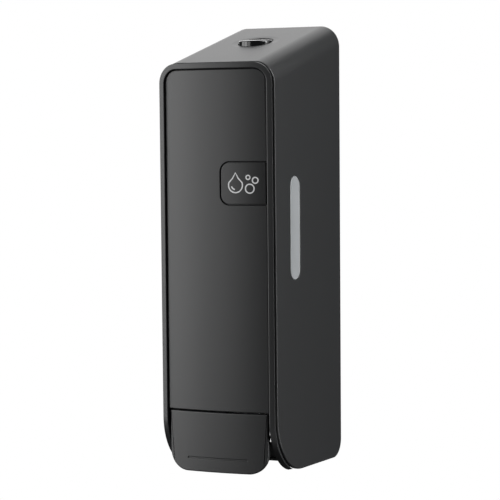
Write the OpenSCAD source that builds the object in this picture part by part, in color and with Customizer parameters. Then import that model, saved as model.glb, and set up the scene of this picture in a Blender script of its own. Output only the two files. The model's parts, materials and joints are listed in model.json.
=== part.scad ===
// Wall mounted soap dispenser: a hinged cover with a push lever and a release button,
// over a wall plate that carries an inverted refill bottle and a lift pump.
// +X is to the right, +Z is up and +Y points into the wall, whose face is the plane Y = 0.
// The origin is the centre of the four wall screws, on the wall's face.
// Heights below are counted from the cover's bottom edge and set down by screw_centre_z
// at the end of the file, so every "_z" value is a height above that edge.

/* [Cover] */
// Width of the cover
cover_w = 75; // [66:1:92]
// Depth from the wall to the cover's front edge
cover_d = 94.8; // [90:0.2:116]
// Height of the cover at the wall
cover_h = 264.4; // [220:0.2:320]
// How far the top falls from the wall to the front
top_drop = 24.8; // [12:0.2:32]
// How far the front leans back between its top and the lever
front_lean = 1.5; // [0:0.1:3]
// Wall thickness of the moulded cover
shell_t = 2.5; // [2:0.1:3]
// Radius of the two long upper edges
top_corner_r = 12.5; // [8:0.5:18]
// Radius of the lower front corner, seen from the side
chin_r = 35; // [31:1:40]
// Length of the floor strip in front of the hinge
floor_l = 24; // [14:1:26]
// Gap between the cover's rear edge and the wall
wall_gap = 1; // [0.6:0.1:2]

/* [Hinge] */
// Radius of the cover's lower rear corner, which is centred on the hinge
hinge_corner_r = 11; // [9:0.5:13]
// Radius of the two hinge pins
hinge_pin_r = 2; // [1.5:0.1:2.4]
// Radius of the ears and bosses around the hinge pins
hinge_boss_r = 5; // [4.5:0.1:6]
// Width of each ear on the wall plate
ear_w = 5; // [3:0.5:7]

/* [Front] */
// Radius of the front's sideways curve
front_r = 172; // [140:1:240]
// How far the panel's side edges stand out from the cover's front edge
panel_stand = 0.8; // [0.4:0.1:2]
// How far the rim stands out from the panel
rim_proud = 1.4; // [0.4:0.1:2.5]
// Inset of the rim from the cover's side
rim_inset = 1; // [0.5:0.1:2]
// Width of the rim's front face
rim_w = 3.5; // [2.5:0.1:5]
// Corner radius of the rim
rim_corner_r = 11.5; // [8:0.5:15]
// Height of the shadow gap between the rim and the cover
shadow_gap = 0.8; // [0.4:0.1:1.5]
// Groove between the rim and the panel
panel_gap = 0.8; // [0.4:0.1:1.2]
// Thickness of the panel and the lever
panel_t = 2.6; // [2:0.1:3]
// Width of the ledge that the panel rests on
ledge_w = 5; // [3:0.5:8]
// Depth of the frame's plug inside the cover's mouth
plug_d = 5.8; // [4:0.2:8]
// Radius of the side rails below the panel
rail_r = 32; // [28:1:36]

/* [Label] */
// Left edge of the label tile
tile_x = 4.4; // [-20:0.2:12]
// Height of the label tile's lower edge
tile_z = 157.3; // [120:0.1:180]
// Height of the label tile
tile_h = 24.4; // [16:0.2:40]
// Corner radius of the label tile
tile_r = 5.5; // [2:0.5:8]
// Thickness of the label tile
tile_t = 1.2; // [0.8:0.1:1.6]
// Fine gap around the label tile
tile_gap = 0.4; // [0.2:0.1:0.8]

/* [Window] */
// Width of the level window
window_w = 13.7; // [8:0.1:18]
// Length of the level window
window_l = 61.2; // [40:0.2:90]
// Height of the level window's middle
window_z = 142.9; // [110:0.1:150]
// Distance from the level window's middle to the cover's front edge
window_setback = 28; // [20:0.5:45]
// Width of the window's inner flange
window_flange = 2.5; // [1.5:0.1:4]
// Clearance round the window
window_gap = 0.15; // [0.05:0.05:0.4]

/* [Lever] */
// Height of the lever's top edge
lever_top_z = 35.9; // [34:0.1:40]
// Height of the lever's bottom edge
lever_low_z = 0.5; // [0:0.1:4]
// Gap between the lever and the frame
lever_gap = 1.2; // [0.8:0.1:2]
// Radius of the lever's lower corners
lever_corner_r = 12; // [6:0.5:16]
// Half length of the engraved line on the lever
line_half = 19.5; // [10:0.5:24]
// Height of the engraved line on the lever
line_z = 8.7; // [6:0.1:16]
// Distance from the lever's pivot to the cover's front edge
pivot_setback = 9.8; // [9:0.1:12]
// Height of the lever's pivot
pivot_z = 30; // [29:0.1:31]
// Radius of the lever's steel pin
lever_pin_r = 2; // [1.5:0.1:2.2]
// Radius of the eyes round the lever pin
eye_r = 4.5; // [4:0.1:4.8]

/* [Pump] */
// Distance from the wall to the pump's axis
pump_d = 50; // [46:0.5:54]
// Height of the lift collar's lower face
collar_z = 30; // [29.5:0.1:30.5]
// Radius of the lift collar
collar_r = 14; // [12.5:0.5:16]
// Radius of the nozzle's barrel
nozzle_r = 7.5; // [6:0.1:8.2]
// Radius of the pump's plunger stem
stem_r = 5; // [4:0.1:5.5]
// Radius of the pump's chamber
chamber_r = 7; // [6.2:0.1:8]
// Length of the pump spring
spring_l = 13.5; // [13:0.5:16]
// Lift of the pump at the lever's end stop
pump_travel = 8.6; // [6:0.1:9]

/* [Bottle] */
// Gap between the bottle and the cover's side walls
bottle_side_gap = 5; // [3:0.5:8]
// Gap between the bottle and the wall plate
bottle_back_gap = 11; // [8:0.5:16]
// Gap between the bottle and the cover's front edge
bottle_front_gap = 14.8; // [12:0.2:20]
// Corner radius of the bottle
bottle_r = 10; // [6:0.5:14]
// Wall thickness of the bottle
bottle_t = 1.4; // [1:0.1:2]
// Outer radius of the bottle's neck
neck_r = 15; // [13.5:0.5:16]
// Grip ribs on the bottle cap
cap_ribs = 24; // [12:1:32]

/* [Release button] */
// Distance from the wall to the button's axis
button_d = 41; // [36:0.5:48]
// Radius of the release button
button_r = 10.25; // [8:0.25:11]
// How far the button stands out at its axis
button_proud = 1.2; // [0.6:0.1:2]
// Slope of the button's top, in degrees
button_tilt = 3.4; // [0:0.1:8]
// Travel of the release button
button_travel = 3; // [2.5:0.1:3.4]
// Radius of the thumb dish round the button
dish_r = 14; // [12.5:0.5:16]
// Depth of the thumb dish
dish_depth = 0.5; // [0.2:0.1:1]

/* [Wall plate] */
// Thickness of the wall plate
plate_t = 3; // [2.5:0.1:4]
// Gap between the wall plate and the cover's side walls
plate_side_gap = 2; // [1.5:0.1:4]
// Sideways spacing of the wall screws
screw_dx = 40; // [30:1:44]
// Upright spacing of the wall screws
screw_dz = 150; // [120:1:160]
// Height of the wall screws' centre
screw_centre_z = 132; // [110:1:140]
// Radius of the wall screw holes
screw_hole_r = 2.6; // [2:0.1:3.2]
// Catch overlap that holds the cover shut
catch_hold = 2.3; // [1.5:0.1:2.4]

/* [Hidden] */
$fn = 96;

run_gap = 0.05;   // radial clearance of a shaft that turns or slides in its bore
fit_gap = 0.3;    // clearance between parts that are put together by hand
over = 1;         // how far a cutting shape passes the face that it cuts
far = 400;        // longer than any part

// Cover
half_w = cover_w / 2;
inner_half = half_w - shell_t;
slope = top_drop / cover_d;
slope_angle = atan(slope);
function top_z(y) = cover_h + slope * y;
function inner_top_z(y) = top_z(y) - shell_t / cos(slope_angle);
front_top_z = top_z(-cover_d);
chin_y = -(cover_d - front_lean - chin_r);
lean_angle = atan(front_lean / (front_top_z - chin_r));

// Hinge
hinge_y = -(wall_gap + hinge_corner_r);
hinge_z = hinge_corner_r;
floor_rear_y = hinge_y - 2;
floor_front_y = floor_rear_y - floor_l;
boss_x = inner_half - 3.5;
ear_x = boss_x - 0.5 - ear_w;
pin_sink = 1.2;

// Front
rim_half = half_w - rim_inset;
opening_half = rim_half - rim_w;
panel_half = opening_half - panel_gap;
front_axis_y = -(cover_d + panel_stand) + sqrt(pow(front_r, 2) - pow(opening_half, 2));
rim_top_z = front_top_z - 0.4;
lip_rear_y = -(cover_d + shadow_gap);
plug_half = inner_half - fit_gap;
plug_top_z = inner_top_z(-cover_d) - fit_gap;
plug_rear_y = -(cover_d - plug_d);
pocket_y = plug_rear_y - 3.4;
panel_low_z = lever_top_z + 0.9;
bar_low_z = panel_low_z - panel_gap;
bar_h = 8;
panel_top_z = rim_top_z - rim_w - panel_gap;
rail_front_y = front_axis_y - sqrt(pow(front_r + rim_proud, 2) - pow(rim_half - rim_w / 2, 2)) + front_lean;
rail_y = rail_front_y + rail_r;
rail_end_y = rail_y - 7;
rail_gap_r = chin_r + shadow_gap;
// Angles below the horizontal: upper end of the chin, its lip and its lower end
shroud_top_a = 31;
shroud_lip_a = 49;
shroud_end_a = 52;
screw_tab_z = [panel_low_z + 38, panel_top_z - 20];
screw_tab_x = opening_half - 2.2;

// Window
window_y = -(cover_d - window_setback);
window_inner_t = 1.2;

// Lever and yoke
pivot_y = -(cover_d - pivot_setback);
pump_y = -pump_d;
lever_half = opening_half - lever_gap;
frame_eye_x = opening_half - 4.5;
lever_eye_x = frame_eye_x - 0.5 - 4.5;
pad_y = pivot_y - 6.5;
pad_low_z = pivot_z - 11;
pad_top_z = pivot_z - 1;
pad_half = 20;
yoke_t = 3;
yoke_low_z = pivot_z - 10;
yoke_top_z = pivot_z - 3;
arm_x = nozzle_r + 2;
arm_w = 3.5;
arm_tip_r = 3;
arm_gap = 0.15;
yoke_screw_x = 16.5;
yoke_screw_r = 1.25;
yoke_screw_z = pivot_z - 6.5;

// Pump, from the nozzle's tip up
tip_z = collar_z - 26.5;
collar_top_z = collar_z + 2.5;
body_low_z = collar_top_z + spring_l;
guide_h = 4;
piston_z = body_low_z + guide_h + 2;
piston_h = 6;
piston_top_z = piston_z + piston_h;
cage_z = piston_top_z + pump_travel + 0.6;
cage_t = 1;
ball_r = 2.5;
cage_hole_r = 1.6;
ball_z = cage_z + cage_t + sqrt(pow(ball_r, 2) - pow(cage_hole_r, 2));
seat_z = ball_z + ball_r + 1;
body_top_z = seat_z + 2.4;
body_r = chamber_r + 3;
flange_z = body_low_z + 18.5;
flange_t = 2;
gasket_t = 1.5;
neck_low_z = flange_z + flange_t + gasket_t;
cap_low_z = flange_z - 2.5;
cap_top_z = neck_low_z + 12;
cap_r = neck_r + 4;
shelf_z = cap_top_z + 4;
shelf_t = 3;
bottle_low_z = shelf_z + shelf_t;

// Release button and latch
button_y = -button_d;
cap_under_z = top_z(button_y) + button_proud - 8.9;
guide_floor_t = 2;
button_spring_l = 8;
guide_floor_z = cap_under_z - button_spring_l - guide_floor_t;
button_stem_r = 3;
stem_low_z = guide_floor_z - 1.5;
hook_t = 3.5;
hook_low_z = stem_low_z - hook_t;
hook_half = 4;
tooth_y = hinge_y - 0.5;
tooth_w = 3;
tooth_top_z = stem_low_z + 5;
hook_screw_r = 1.5;
lip_z = tooth_top_z - catch_hold;
catch_z = tooth_top_z + 2;
catch_t = 3;
catch_half = 8;
lip_w = 2.5;
lip_y = tooth_y - 1 - lip_w;

// Bottle, kept inside the circle that the latch hook swings through
bottle_half = inner_half - bottle_side_gap;
bottle_rear_y = -(plate_t + bottle_back_gap);
bottle_front_y = -(cover_d - bottle_front_gap);
hook_swing_r = hook_low_z - button_travel - hinge_z;
bottle_top_z = hinge_z + sqrt(pow(hook_swing_r - 3, 2) - pow(bottle_front_y - hinge_y, 2));

// Wall plate
plate_half = inner_half - plate_side_gap;
plate_low_z = hinge_z + 1;
plate_top_z = catch_z + catch_t + 7.5;
shelf_half = plate_half - 3;
shelf_screw_x = shelf_half - 6;
shelf_screw_z = bottle_low_z + 11;
shelf_screw_r = 1.75;

// An outline in the Y-Z plane, drawn out between two X values
module across(x0, x1) rotate([90, 0, 90]) translate([0, 0, x0]) linear_extrude(x1 - x0) children();

// An outline in the X-Z plane, drawn out between two Y values
module along(y0, y1) translate([0, y1, 0]) rotate([90, 0, 0]) linear_extrude(y1 - y0) children();

module both_sides() {
  children();
  mirror([1, 0, 0]) children();
}

// A round bar along X, centred on a point of the Y-Z plane
module bar_x(x0, x1, y, z, r) translate([x0, y, z]) rotate([0, 90, 0]) cylinder(r = r, h = x1 - x0);

// A round bar along Y, from its front end to its rear end
module bar_y(x, y0, y1, z, r) translate([x, y1, z]) rotate([90, 0, 0]) cylinder(r = r, h = y1 - y0);

// A round bar along Z, on the pump's axis unless another depth is given
module bar_z(z0, z1, r, y = pump_y) translate([0, y, z0]) cylinder(r = r, h = z1 - z0);

// A rectangle with all four corners rounded, given by two opposite corners
module round_rect(x0, y0, x1, y1, r) {
  translate([x0 + r, y0]) square([x1 - x0 - 2 * r, y1 - y0]);
  translate([x0, y0 + r]) square([x1 - x0, y1 - y0 - 2 * r]);
  for (x = [x0 + r, x1 - r], y = [y0 + r, y1 - r]) translate([x, y]) circle(r);
}

// A rectangle with only its two upper corners rounded
module arched_rect(half, low, top, r) {
  translate([-half, low]) square([2 * half, top - r - low]);
  translate([-half + r, low]) square([2 * (half - r), top - low]);
  for (side = [-1, 1]) translate([side * (half - r), top - r]) circle(r);
}

// Parts on the front lean back with the cover's front edge
module leaned() {
  translate([0, -cover_d, front_top_z]) rotate([lean_angle, 0, 0])
    translate([0, cover_d, -front_top_z]) children();
}

// The solid behind the front's curved face, grown or shrunk by a distance
module behind_front(grow = 0) {
  translate([0, front_axis_y, -60]) cylinder(r = front_r + grow, h = cover_h + 120, $fn = 240);
}

// A wire spring on an upright axis, its ends flush with two heights
module coil(y, z0, z1, r, wire_r, turns) {
  steps = 16;
  sides = 8;
  rings = turns * steps;
  rise = z1 - z0 - 2 * wire_r;
  points = [
    for (i = [0:rings], k = [0:sides - 1])
      let (turn = 360 * i / steps, tilt = 360 * k / sides, out = r + wire_r * cos(tilt))
      [out * cos(turn), y + out * sin(turn), z0 + wire_r + rise * i / rings + wire_r * sin(tilt)]
  ];
  sleeve = [
    for (i = [0:rings - 1], k = [0:sides - 1])
      let (next = (k + 1) % sides)
      [i * sides + k, i * sides + next, (i + 1) * sides + next, (i + 1) * sides + k]
  ];
  first = [for (k = [sides - 1:-1:0]) k];
  last = [for (k = [0:sides - 1]) rings * sides + k];
  polyhedron(points, concat(sleeve, [first, last]));
}

// A slot with round ends in the Y-Z plane
module window_slot(grow) {
  r = window_w / 2 + grow;
  reach = (window_l - window_w) / 2;
  translate([window_y - r, window_z - reach]) square([2 * r, 2 * reach]);
  for (end = [-1, 1]) translate([window_y, window_z + end * reach]) circle(r);
}

// ---- Wall unit ----

module hinge_ear() {
  across(ear_x, ear_x + ear_w) {
    translate([hinge_y, hinge_z]) circle(hinge_boss_r);
    polygon([
      [-0.5, plate_low_z], [-0.5, plate_low_z + 24], [-plate_t, plate_low_z + 24],
      [hinge_y - hinge_boss_r, hinge_z + 1], [hinge_y, hinge_z]
    ]);
  }
}

module catch_ledge() {
  across(-catch_half, catch_half)
    polygon([
      [-1, catch_z], [-1, catch_z + catch_t], [lip_y, catch_z + catch_t], [lip_y, lip_z],
      [lip_y + lip_w, lip_z], [lip_y + lip_w, catch_z]
    ]);
  both_sides() across(catch_half, catch_half + 2)
    polygon([[-1, catch_z - 6], [-1, catch_z + catch_t], [lip_y, catch_z + catch_t], [lip_y, catch_z]]);
}

module wall_plate() color("#d9dadb") {
  difference() {
    union() {
      along(-plate_t, 0) round_rect(-plate_half, plate_low_z, plate_half, plate_top_z, 5);
      both_sides() across(plate_half - 2.5, plate_half)
        translate([-plate_t - 6, plate_low_z + 18]) square([7, plate_top_z - plate_low_z - 36]);
      for (x = [-1, 1], z = [-1, 1])
        bar_y(x * screw_dx / 2, -plate_t - 1.5, -1, screw_centre_z + z * screw_dz / 2, 6);
      both_sides() hinge_ear();
      catch_ledge();
    }
    for (x = [-1, 1], z = [-1, 1])
      bar_y(x * screw_dx / 2, -far, over, screw_centre_z + z * screw_dz / 2, screw_hole_r);
    bar_x(-far, far, hinge_y, hinge_z, hinge_pin_r + run_gap);
    for (x = [-1, 1]) bar_y(x * shelf_screw_x, -far, -0.8, shelf_screw_z, shelf_screw_r);
  }
}

module bottle_shelf() color("#c9cbcd") {
  back_y = -plate_t - 3;
  difference() {
    union() {
      translate([-shelf_half, bottle_front_y, shelf_z])
        cube([2 * shelf_half, -plate_t - bottle_front_y, shelf_t]);
      translate([-shelf_half, back_y, shelf_z]) cube([2 * shelf_half, 3, 24]);
      both_sides() across(shelf_half - 2.5, shelf_half)
        polygon([
          [-plate_t, shelf_z - 14], [-plate_t, shelf_z + 1], [bottle_front_y + 6, shelf_z + 1],
          [bottle_front_y + 6, shelf_z - 2]
        ]);
    }
    bar_z(shelf_z - over, shelf_z + shelf_t + over, neck_r + fit_gap);
    translate([-neck_r - fit_gap, bottle_front_y - over, shelf_z - over])
      cube([2 * (neck_r + fit_gap), pump_y - bottle_front_y + over, shelf_t + 2 * over]);
    for (x = [-1, 1]) bar_y(x * shelf_screw_x, -far, over, shelf_screw_z, shelf_screw_r);
  }
}

module shelf_screws() color("#b9bcc0") {
  head_y = -plate_t - 3;
  for (x = [-1, 1]) difference() {
    union() {
      bar_y(x * shelf_screw_x, head_y, -0.9, shelf_screw_z, shelf_screw_r);
      bar_y(x * shelf_screw_x, head_y - 2.2, head_y, shelf_screw_z, 3.2);
    }
    for (turn = [0, 90]) translate([x * shelf_screw_x, head_y - 2.2, shelf_screw_z])
      rotate([0, turn, 0]) cube([4, 2.4, 0.8], center = true);
  }
}

module bottle() color("#e6ecee", 0.6) {
  difference() {
    union() {
      translate([0, 0, bottle_low_z]) linear_extrude(bottle_top_z - bottle_low_z)
        round_rect(-bottle_half, bottle_front_y, bottle_half, bottle_rear_y, bottle_r);
      bar_z(neck_low_z, bottle_low_z + over, neck_r);
      bar_z(cap_top_z + 0.4, cap_top_z + 2.2, neck_r + 2.5);
    }
    translate([0, 0, bottle_low_z + bottle_t])
      linear_extrude(bottle_top_z - bottle_low_z - 2 * bottle_t)
        round_rect(-bottle_half + bottle_t, bottle_front_y + bottle_t,
                   bottle_half - bottle_t, bottle_rear_y - bottle_t, bottle_r - bottle_t);
    bar_z(neck_low_z - over, bottle_low_z + bottle_t + over, neck_r - 2.5);
  }
}

module bottle_cap() color("#f0f0ee") {
  difference() {
    union() {
      bar_z(cap_low_z, cap_top_z, cap_r);
      for (i = [0:cap_ribs - 1]) translate([0, pump_y, cap_low_z + 1])
        rotate([0, 0, 360 * i / cap_ribs]) translate([cap_r - 1, -0.6, 0])
          cube([1.7, 1.2, cap_top_z - cap_low_z - 2]);
    }
    bar_z(flange_z, cap_top_z + over, neck_r);
    bar_z(cap_low_z - over, flange_z + over, body_r + 0.2);
  }
}

module neck_gasket() color("#3b3d40") {
  difference() {
    bar_z(neck_low_z - gasket_t, neck_low_z, neck_r - 0.6);
    bar_z(neck_low_z - gasket_t - over, neck_low_z + over, neck_r - 4);
  }
}

module pump_body() color("#eef0f1") {
  difference() {
    union() {
      bar_z(body_low_z, flange_z, body_r);
      bar_z(flange_z, flange_z + flange_t, neck_r - 0.6);
      bar_z(flange_z, body_top_z, body_r - 0.5);
    }
    bar_z(body_low_z - over, body_low_z + guide_h + over, stem_r + run_gap);
    bar_z(body_low_z + guide_h, cage_z + cage_t, chamber_r);
    bar_z(cage_z, seat_z, ball_r + 0.7);
    bar_z(seat_z - over, body_top_z + over, ball_r - 0.7);
  }
}

module valve_cage() color("#dfe3e6") {
  difference() {
    bar_z(cage_z, cage_z + cage_t, chamber_r);
    bar_z(cage_z - over, cage_z + cage_t + over, cage_hole_r);
    for (i = [0:2]) translate([0, pump_y, cage_z - over]) rotate([0, 0, 120 * i])
      translate([4.6, 0, 0]) cylinder(r = 0.8, h = cage_t + 2 * over);
  }
}

module inlet_ball() color("#c3c7cb") translate([0, pump_y, ball_z]) sphere(ball_r);

// ---- Pump slider ----

module pump_spring() color("#cfd2d6") {
  coil(pump_y, collar_top_z, body_low_z, 7.6, 0.5, 5);
}

module nozzle() color("#f2f3f3") {
  barrel_z = tip_z + 8.5;
  difference() {
    union() {
      bar_z(piston_z - 2, piston_top_z, 3.5);
      bar_z(collar_z, piston_z, stem_r);
      bar_z(collar_z, collar_top_z, collar_r);
      bar_z(barrel_z, collar_z, nozzle_r);
      translate([0, pump_y, tip_z + 1.5]) cylinder(r1 = 4.6, r2 = nozzle_r, h = barrel_z - tip_z - 1.5);
    }
    bar_z(tip_z - over, piston_top_z + over, 2.2);
    bar_z(tip_z - over, tip_z + 7, 3.5);
  }
}

module piston() color("#e3e6e8") {
  difference() {
    bar_z(piston_z, piston_top_z, chamber_r - 0.3);
    bar_z(piston_z - over, piston_top_z + over, 3.5);
    difference() {
      bar_z(piston_z + 2, piston_z + 4, chamber_r);
      bar_z(piston_z + 1, piston_z + 5, chamber_r - 1.3);
    }
  }
}

module piston_seal() color("#2f3134") {
  difference() {
    bar_z(piston_z + 2, piston_z + 4, chamber_r - run_gap);
    bar_z(piston_z + 1, piston_z + 5, chamber_r - 1.3);
  }
}

module outlet_valve() color("#e9e4da") {
  difference() {
    bar_z(tip_z + 1.5, tip_z + 7, 3.5);
    bar_z(tip_z + 3, tip_z + 7 + over, 1.8);
    translate([-1.5, pump_y - 0.15, tip_z]) cube([3, 0.3, 4]);
  }
}

module nozzle_ring() color("#f2f3f3") {
  difference() {
    bar_z(tip_z, tip_z + 1.5, 4.6);
    bar_z(tip_z - over, tip_z + 1.5 + over, 2.4);
  }
}

// ---- Cover ----

// The cover's outline from the side
module cover_outline() {
  polygon([
    [-wall_gap, hinge_z], [-wall_gap, top_z(-wall_gap)], [-cover_d, front_top_z],
    [chin_y - chin_r, chin_r], [chin_y, chin_r], [chin_y, 0], [hinge_y, 0], [hinge_y, hinge_z]
  ]);
  translate([chin_y, chin_r]) circle(chin_r);
  translate([hinge_y, hinge_z]) circle(hinge_corner_r);
}

// A long bar under the sloping top, with the cover's rounded upper edges
module crowned_bar(inset) {
  translate([0, 0, cover_h]) rotate([slope_angle, 0, 0])
    along(-far, far) arched_rect(half_w - inset, -cover_h - 100, -inset, top_corner_r - inset);
}

module screw_tabs() {
  leaned() for (side = [-1, 1], z = screw_tab_z)
    translate([side > 0 ? screw_tab_x - 3.5 : -inner_half - 1, plug_rear_y, z - 4])
      cube([inner_half + 1 - screw_tab_x + 3.5, 3, 8]);
}

module cover_shell() color("#4a4b4d") {
  difference() {
    union() {
      difference() {
        intersection() {
          across(-half_w, half_w) cover_outline();
          crowned_bar(0);
        }
        crowned_bar(shell_t);
      }
      across(-inner_half - 1, inner_half + 1)
        translate([floor_front_y, 0]) square([floor_rear_y - floor_front_y, shell_t]);
      both_sides() bar_x(boss_x, half_w - 1, hinge_y, hinge_z, hinge_boss_r);
      screw_tabs();
    }
    both_sides() bar_x(boss_x - over, inner_half + pin_sink, hinge_y, hinge_z, hinge_pin_r);
    across(-far, far) window_slot(0);
    bar_z(top_z(button_y) - 20, cover_h + over, button_r + 0.4, button_y);
    translate([0, button_y, top_z(button_y)]) rotate([slope_angle, 0, 0])
      translate([0, 0, -dish_depth]) cylinder(r = dish_r, h = 5);
    leaned() for (side = [-1, 1], z = screw_tab_z)
      bar_y(side * screw_tab_x, -cover_d, plug_rear_y + 3 + over, z, 1.6);
  }
}

module hinge_pins() color("#b9bcc0") {
  both_sides() bar_x(ear_x, inner_half + pin_sink, hinge_y, hinge_z, hinge_pin_r);
}

// The side rail's outline below the panel, outside a circle about the chin's centre
module rail_outline(inner_r) {
  difference() {
    intersection() {
      translate([rail_y, rail_r]) circle(rail_r);
      translate([rail_end_y - far, -over]) square([far, rail_r + 2 * over]);
    }
    translate([chin_y, chin_r]) circle(inner_r);
  }
}

// The rails that carry the rim down both sides of the lever
module frame_rails() {
  both_sides() {
    across(opening_half - over, plug_half) rail_outline(chin_r - plug_d);
    across(plug_half, rim_half) rail_outline(rail_gap_r);
  }
}

// The eyes for the lever pin and the bar that joins them
module frame_eyes() {
  both_sides() across(frame_eye_x, plug_half - 0.4) {
    translate([pivot_y, pivot_z]) circle(eye_r);
    translate([pivot_y - eye_r, pivot_z]) square([2 * eye_r, bar_low_z + 3 - pivot_z]);
  }
  translate([-frame_eye_x - 1, plug_rear_y - 1, bar_low_z + 1])
    cube([2 * frame_eye_x + 2, pivot_y + eye_r - plug_rear_y + 0.5, 2.5]);
}

// The rim's lip and the plug behind it, as one solid block
module frame_block() {
  leaned() intersection() {
    union() {
      along(lip_rear_y - 12, lip_rear_y) arched_rect(rim_half, rail_r - 0.6, rim_top_z, rim_corner_r);
      along(lip_rear_y - over, plug_rear_y)
        arched_rect(plug_half, rail_r - 1.2, plug_top_z, rim_corner_r - 1);
    }
    behind_front(rim_proud);
  }
}

module front_frame() color("#3f4042") {
  difference() {
    union() {
      difference() {
        union() {
          frame_block();
          frame_rails();
        }
        leaned() {
          along(-far, pocket_y)
            round_rect(-opening_half, bar_low_z, opening_half, panel_top_z + panel_gap, rim_corner_r - rim_w);
          along(-far, 0) translate([-opening_half, -over]) square([2 * opening_half, bar_low_z + over]);
          along(-far, pocket_y) translate([-opening_half, bar_low_z - 0.5]) square([2 * opening_half, 20]);
          along(-far, 0)
            round_rect(-opening_half + ledge_w, bar_low_z + bar_h, opening_half - ledge_w,
                       panel_top_z - ledge_w, 6);
          for (side = [-1, 1], z = screw_tab_z) bar_y(side * screw_tab_x, pocket_y + 0.4, 0, z, 1.3);
        }
      }
      frame_eyes();
    }
    bar_x(-far, far, pivot_y, pivot_z, lever_pin_r);
  }
}

module panel_outline() {
  round_rect(-panel_half, panel_low_z, panel_half, panel_top_z, rim_corner_r - rim_w - panel_gap);
  translate([-panel_half, panel_low_z]) square([2 * panel_half, 20]);
}

// The label tile's outline, rounded on its left side only
module tile_outline(grow) {
  round_rect(tile_x - grow, tile_z - grow, panel_half, tile_z + tile_h + grow, tile_r + grow);
  translate([panel_half - tile_r - 2, tile_z - grow]) square([tile_r + 2, tile_h + 2 * grow]);
}

module front_panel() color("#424345") {
  leaned() difference() {
    intersection() {
      along(-far, pocket_y) panel_outline();
      behind_front();
    }
    intersection() {
      along(-far, far)
        round_rect(-panel_half + ledge_w, panel_low_z + 5, panel_half - ledge_w, panel_top_z - ledge_w, 4);
      behind_front(-panel_t);
    }
    difference() {
      along(-far, pocket_y) translate([tile_gap, 0]) tile_outline(tile_gap);
      behind_front(-tile_t);
    }
  }
}

module label_tile() color("#2c2d2f") {
  leaned() difference() {
    intersection() {
      along(-far, pocket_y) tile_outline(0);
      behind_front();
    }
    behind_front(-tile_t);
  }
}

module window_lens() {
  across(inner_half, half_w - 0.3) window_slot(-window_gap);
  across(inner_half - window_inner_t, inner_half) window_slot(window_flange);
}

module window_right() color("#a9acae", 0.8) window_lens();

module window_left() color("#a9acae", 0.8) mirror([1, 0, 0]) window_lens();

module cover_screws() color("#b9bcc0") {
  leaned() for (side = [-1, 1], z = screw_tab_z) {
    bar_y(side * screw_tab_x, pocket_y + 0.5, plug_rear_y + 3, z, 1.3);
    bar_y(side * screw_tab_x, plug_rear_y + 3, plug_rear_y + 4.8, z, 2.7);
  }
}

// A ring sector about the chin's centre, between two angles below the horizontal
module chin_sector(r0, r1, a0, a1) {
  mid = (a0 + a1) / 2;
  translate([chin_y, chin_r]) intersection() {
    difference() {
      circle(r1);
      circle(r0);
    }
    polygon([
      [0, 0], [-2 * r1 * cos(a0), -2 * r1 * sin(a0)],
      [-3 * r1 * cos(mid), -3 * r1 * sin(mid)], [-2 * r1 * cos(a1), -2 * r1 * sin(a1)]
    ]);
  }
}

module lower_shroud() color("#3a3b3d") {
  across(-opening_half, opening_half) {
    chin_sector(chin_r - 3.4, chin_r - 1.4, shroud_top_a, shroud_end_a);
    chin_sector(chin_r - 3.4, chin_r, shroud_lip_a, shroud_end_a + 1);
  }
  both_sides() across(opening_half - 2, opening_half)
    chin_sector(chin_r - 8, chin_r - 1.4, shroud_top_a, shroud_end_a + 1);
}

module button_guide() color("#d9dadb") {
  difference() {
    intersection() {
      bar_z(guide_floor_z, cover_h, dish_r - 1, button_y);
      crowned_bar(shell_t);
    }
    bar_z(guide_floor_z + guide_floor_t, cover_h, button_r + 0.4, button_y);
    bar_z(guide_floor_z - over, cover_h, button_stem_r + run_gap, button_y);
  }
}

module lever_pin() color("#b9bcc0") {
  bar_x(-opening_half, opening_half, pivot_y, pivot_z, lever_pin_r);
}

// ---- Lever ----

module push_lever() color("#424345") {
  difference() {
    union() {
      leaned() difference() {
        intersection() {
          along(-far, pocket_y + 6) {
            round_rect(-lever_half, lever_low_z, lever_half, lever_top_z, lever_corner_r);
            translate([-lever_half, lever_low_z + 15]) square([2 * lever_half, lever_top_z - lever_low_z - 15]);
          }
          behind_front();
        }
        behind_front(-panel_t);
        difference() {
          along(-far, 0) translate([-line_half, line_z - 0.45]) square([2 * line_half, 0.9]);
          behind_front(-0.6);
        }
      }
      intersection() {
        along(-far, pad_y)
          translate([-pad_half, pad_low_z]) square([2 * pad_half, pad_top_z - pad_low_z]);
        leaned() behind_front(-0.5 * panel_t);
      }
      both_sides() across(lever_eye_x, lever_eye_x + 4.5) {
        translate([pivot_y, pivot_z]) circle(eye_r);
        polygon([
          [-(cover_d + 0.2), pivot_z - 5], [-(cover_d + 0.2), pivot_z + 5],
          [pivot_y, pivot_z + eye_r], [pivot_y, pivot_z - eye_r]
        ]);
      }
    }
    bar_x(-far, far, pivot_y, pivot_z, lever_pin_r + run_gap);
    for (x = [-1, 1]) bar_y(x * yoke_screw_x, pad_y - 4, 0, yoke_screw_z, yoke_screw_r);
  }
}

module lever_yoke() color("#dfe2e4") {
  front_y = pad_y;
  rear_y = pad_y + yoke_t;
  tip_centre_z = collar_z - arm_gap - arm_tip_r;
  difference() {
    union() {
      translate([-pad_half, front_y, yoke_low_z])
        cube([2 * pad_half, yoke_t, yoke_top_z + 0.6 - yoke_low_z]);
      both_sides() across(arm_x, arm_x + arm_w) {
        translate([pump_y, tip_centre_z]) circle(arm_tip_r);
        polygon([
          [rear_y - 1, yoke_low_z], [rear_y - 1, yoke_top_z], [pump_y, tip_centre_z + arm_tip_r],
          [pump_y, tip_centre_z - arm_tip_r], [rear_y + 14, yoke_low_z]
        ]);
      }
    }
    for (x = [-1, 1]) bar_y(x * yoke_screw_x, -far, 0, yoke_screw_z, yoke_screw_r);
  }
}

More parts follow.
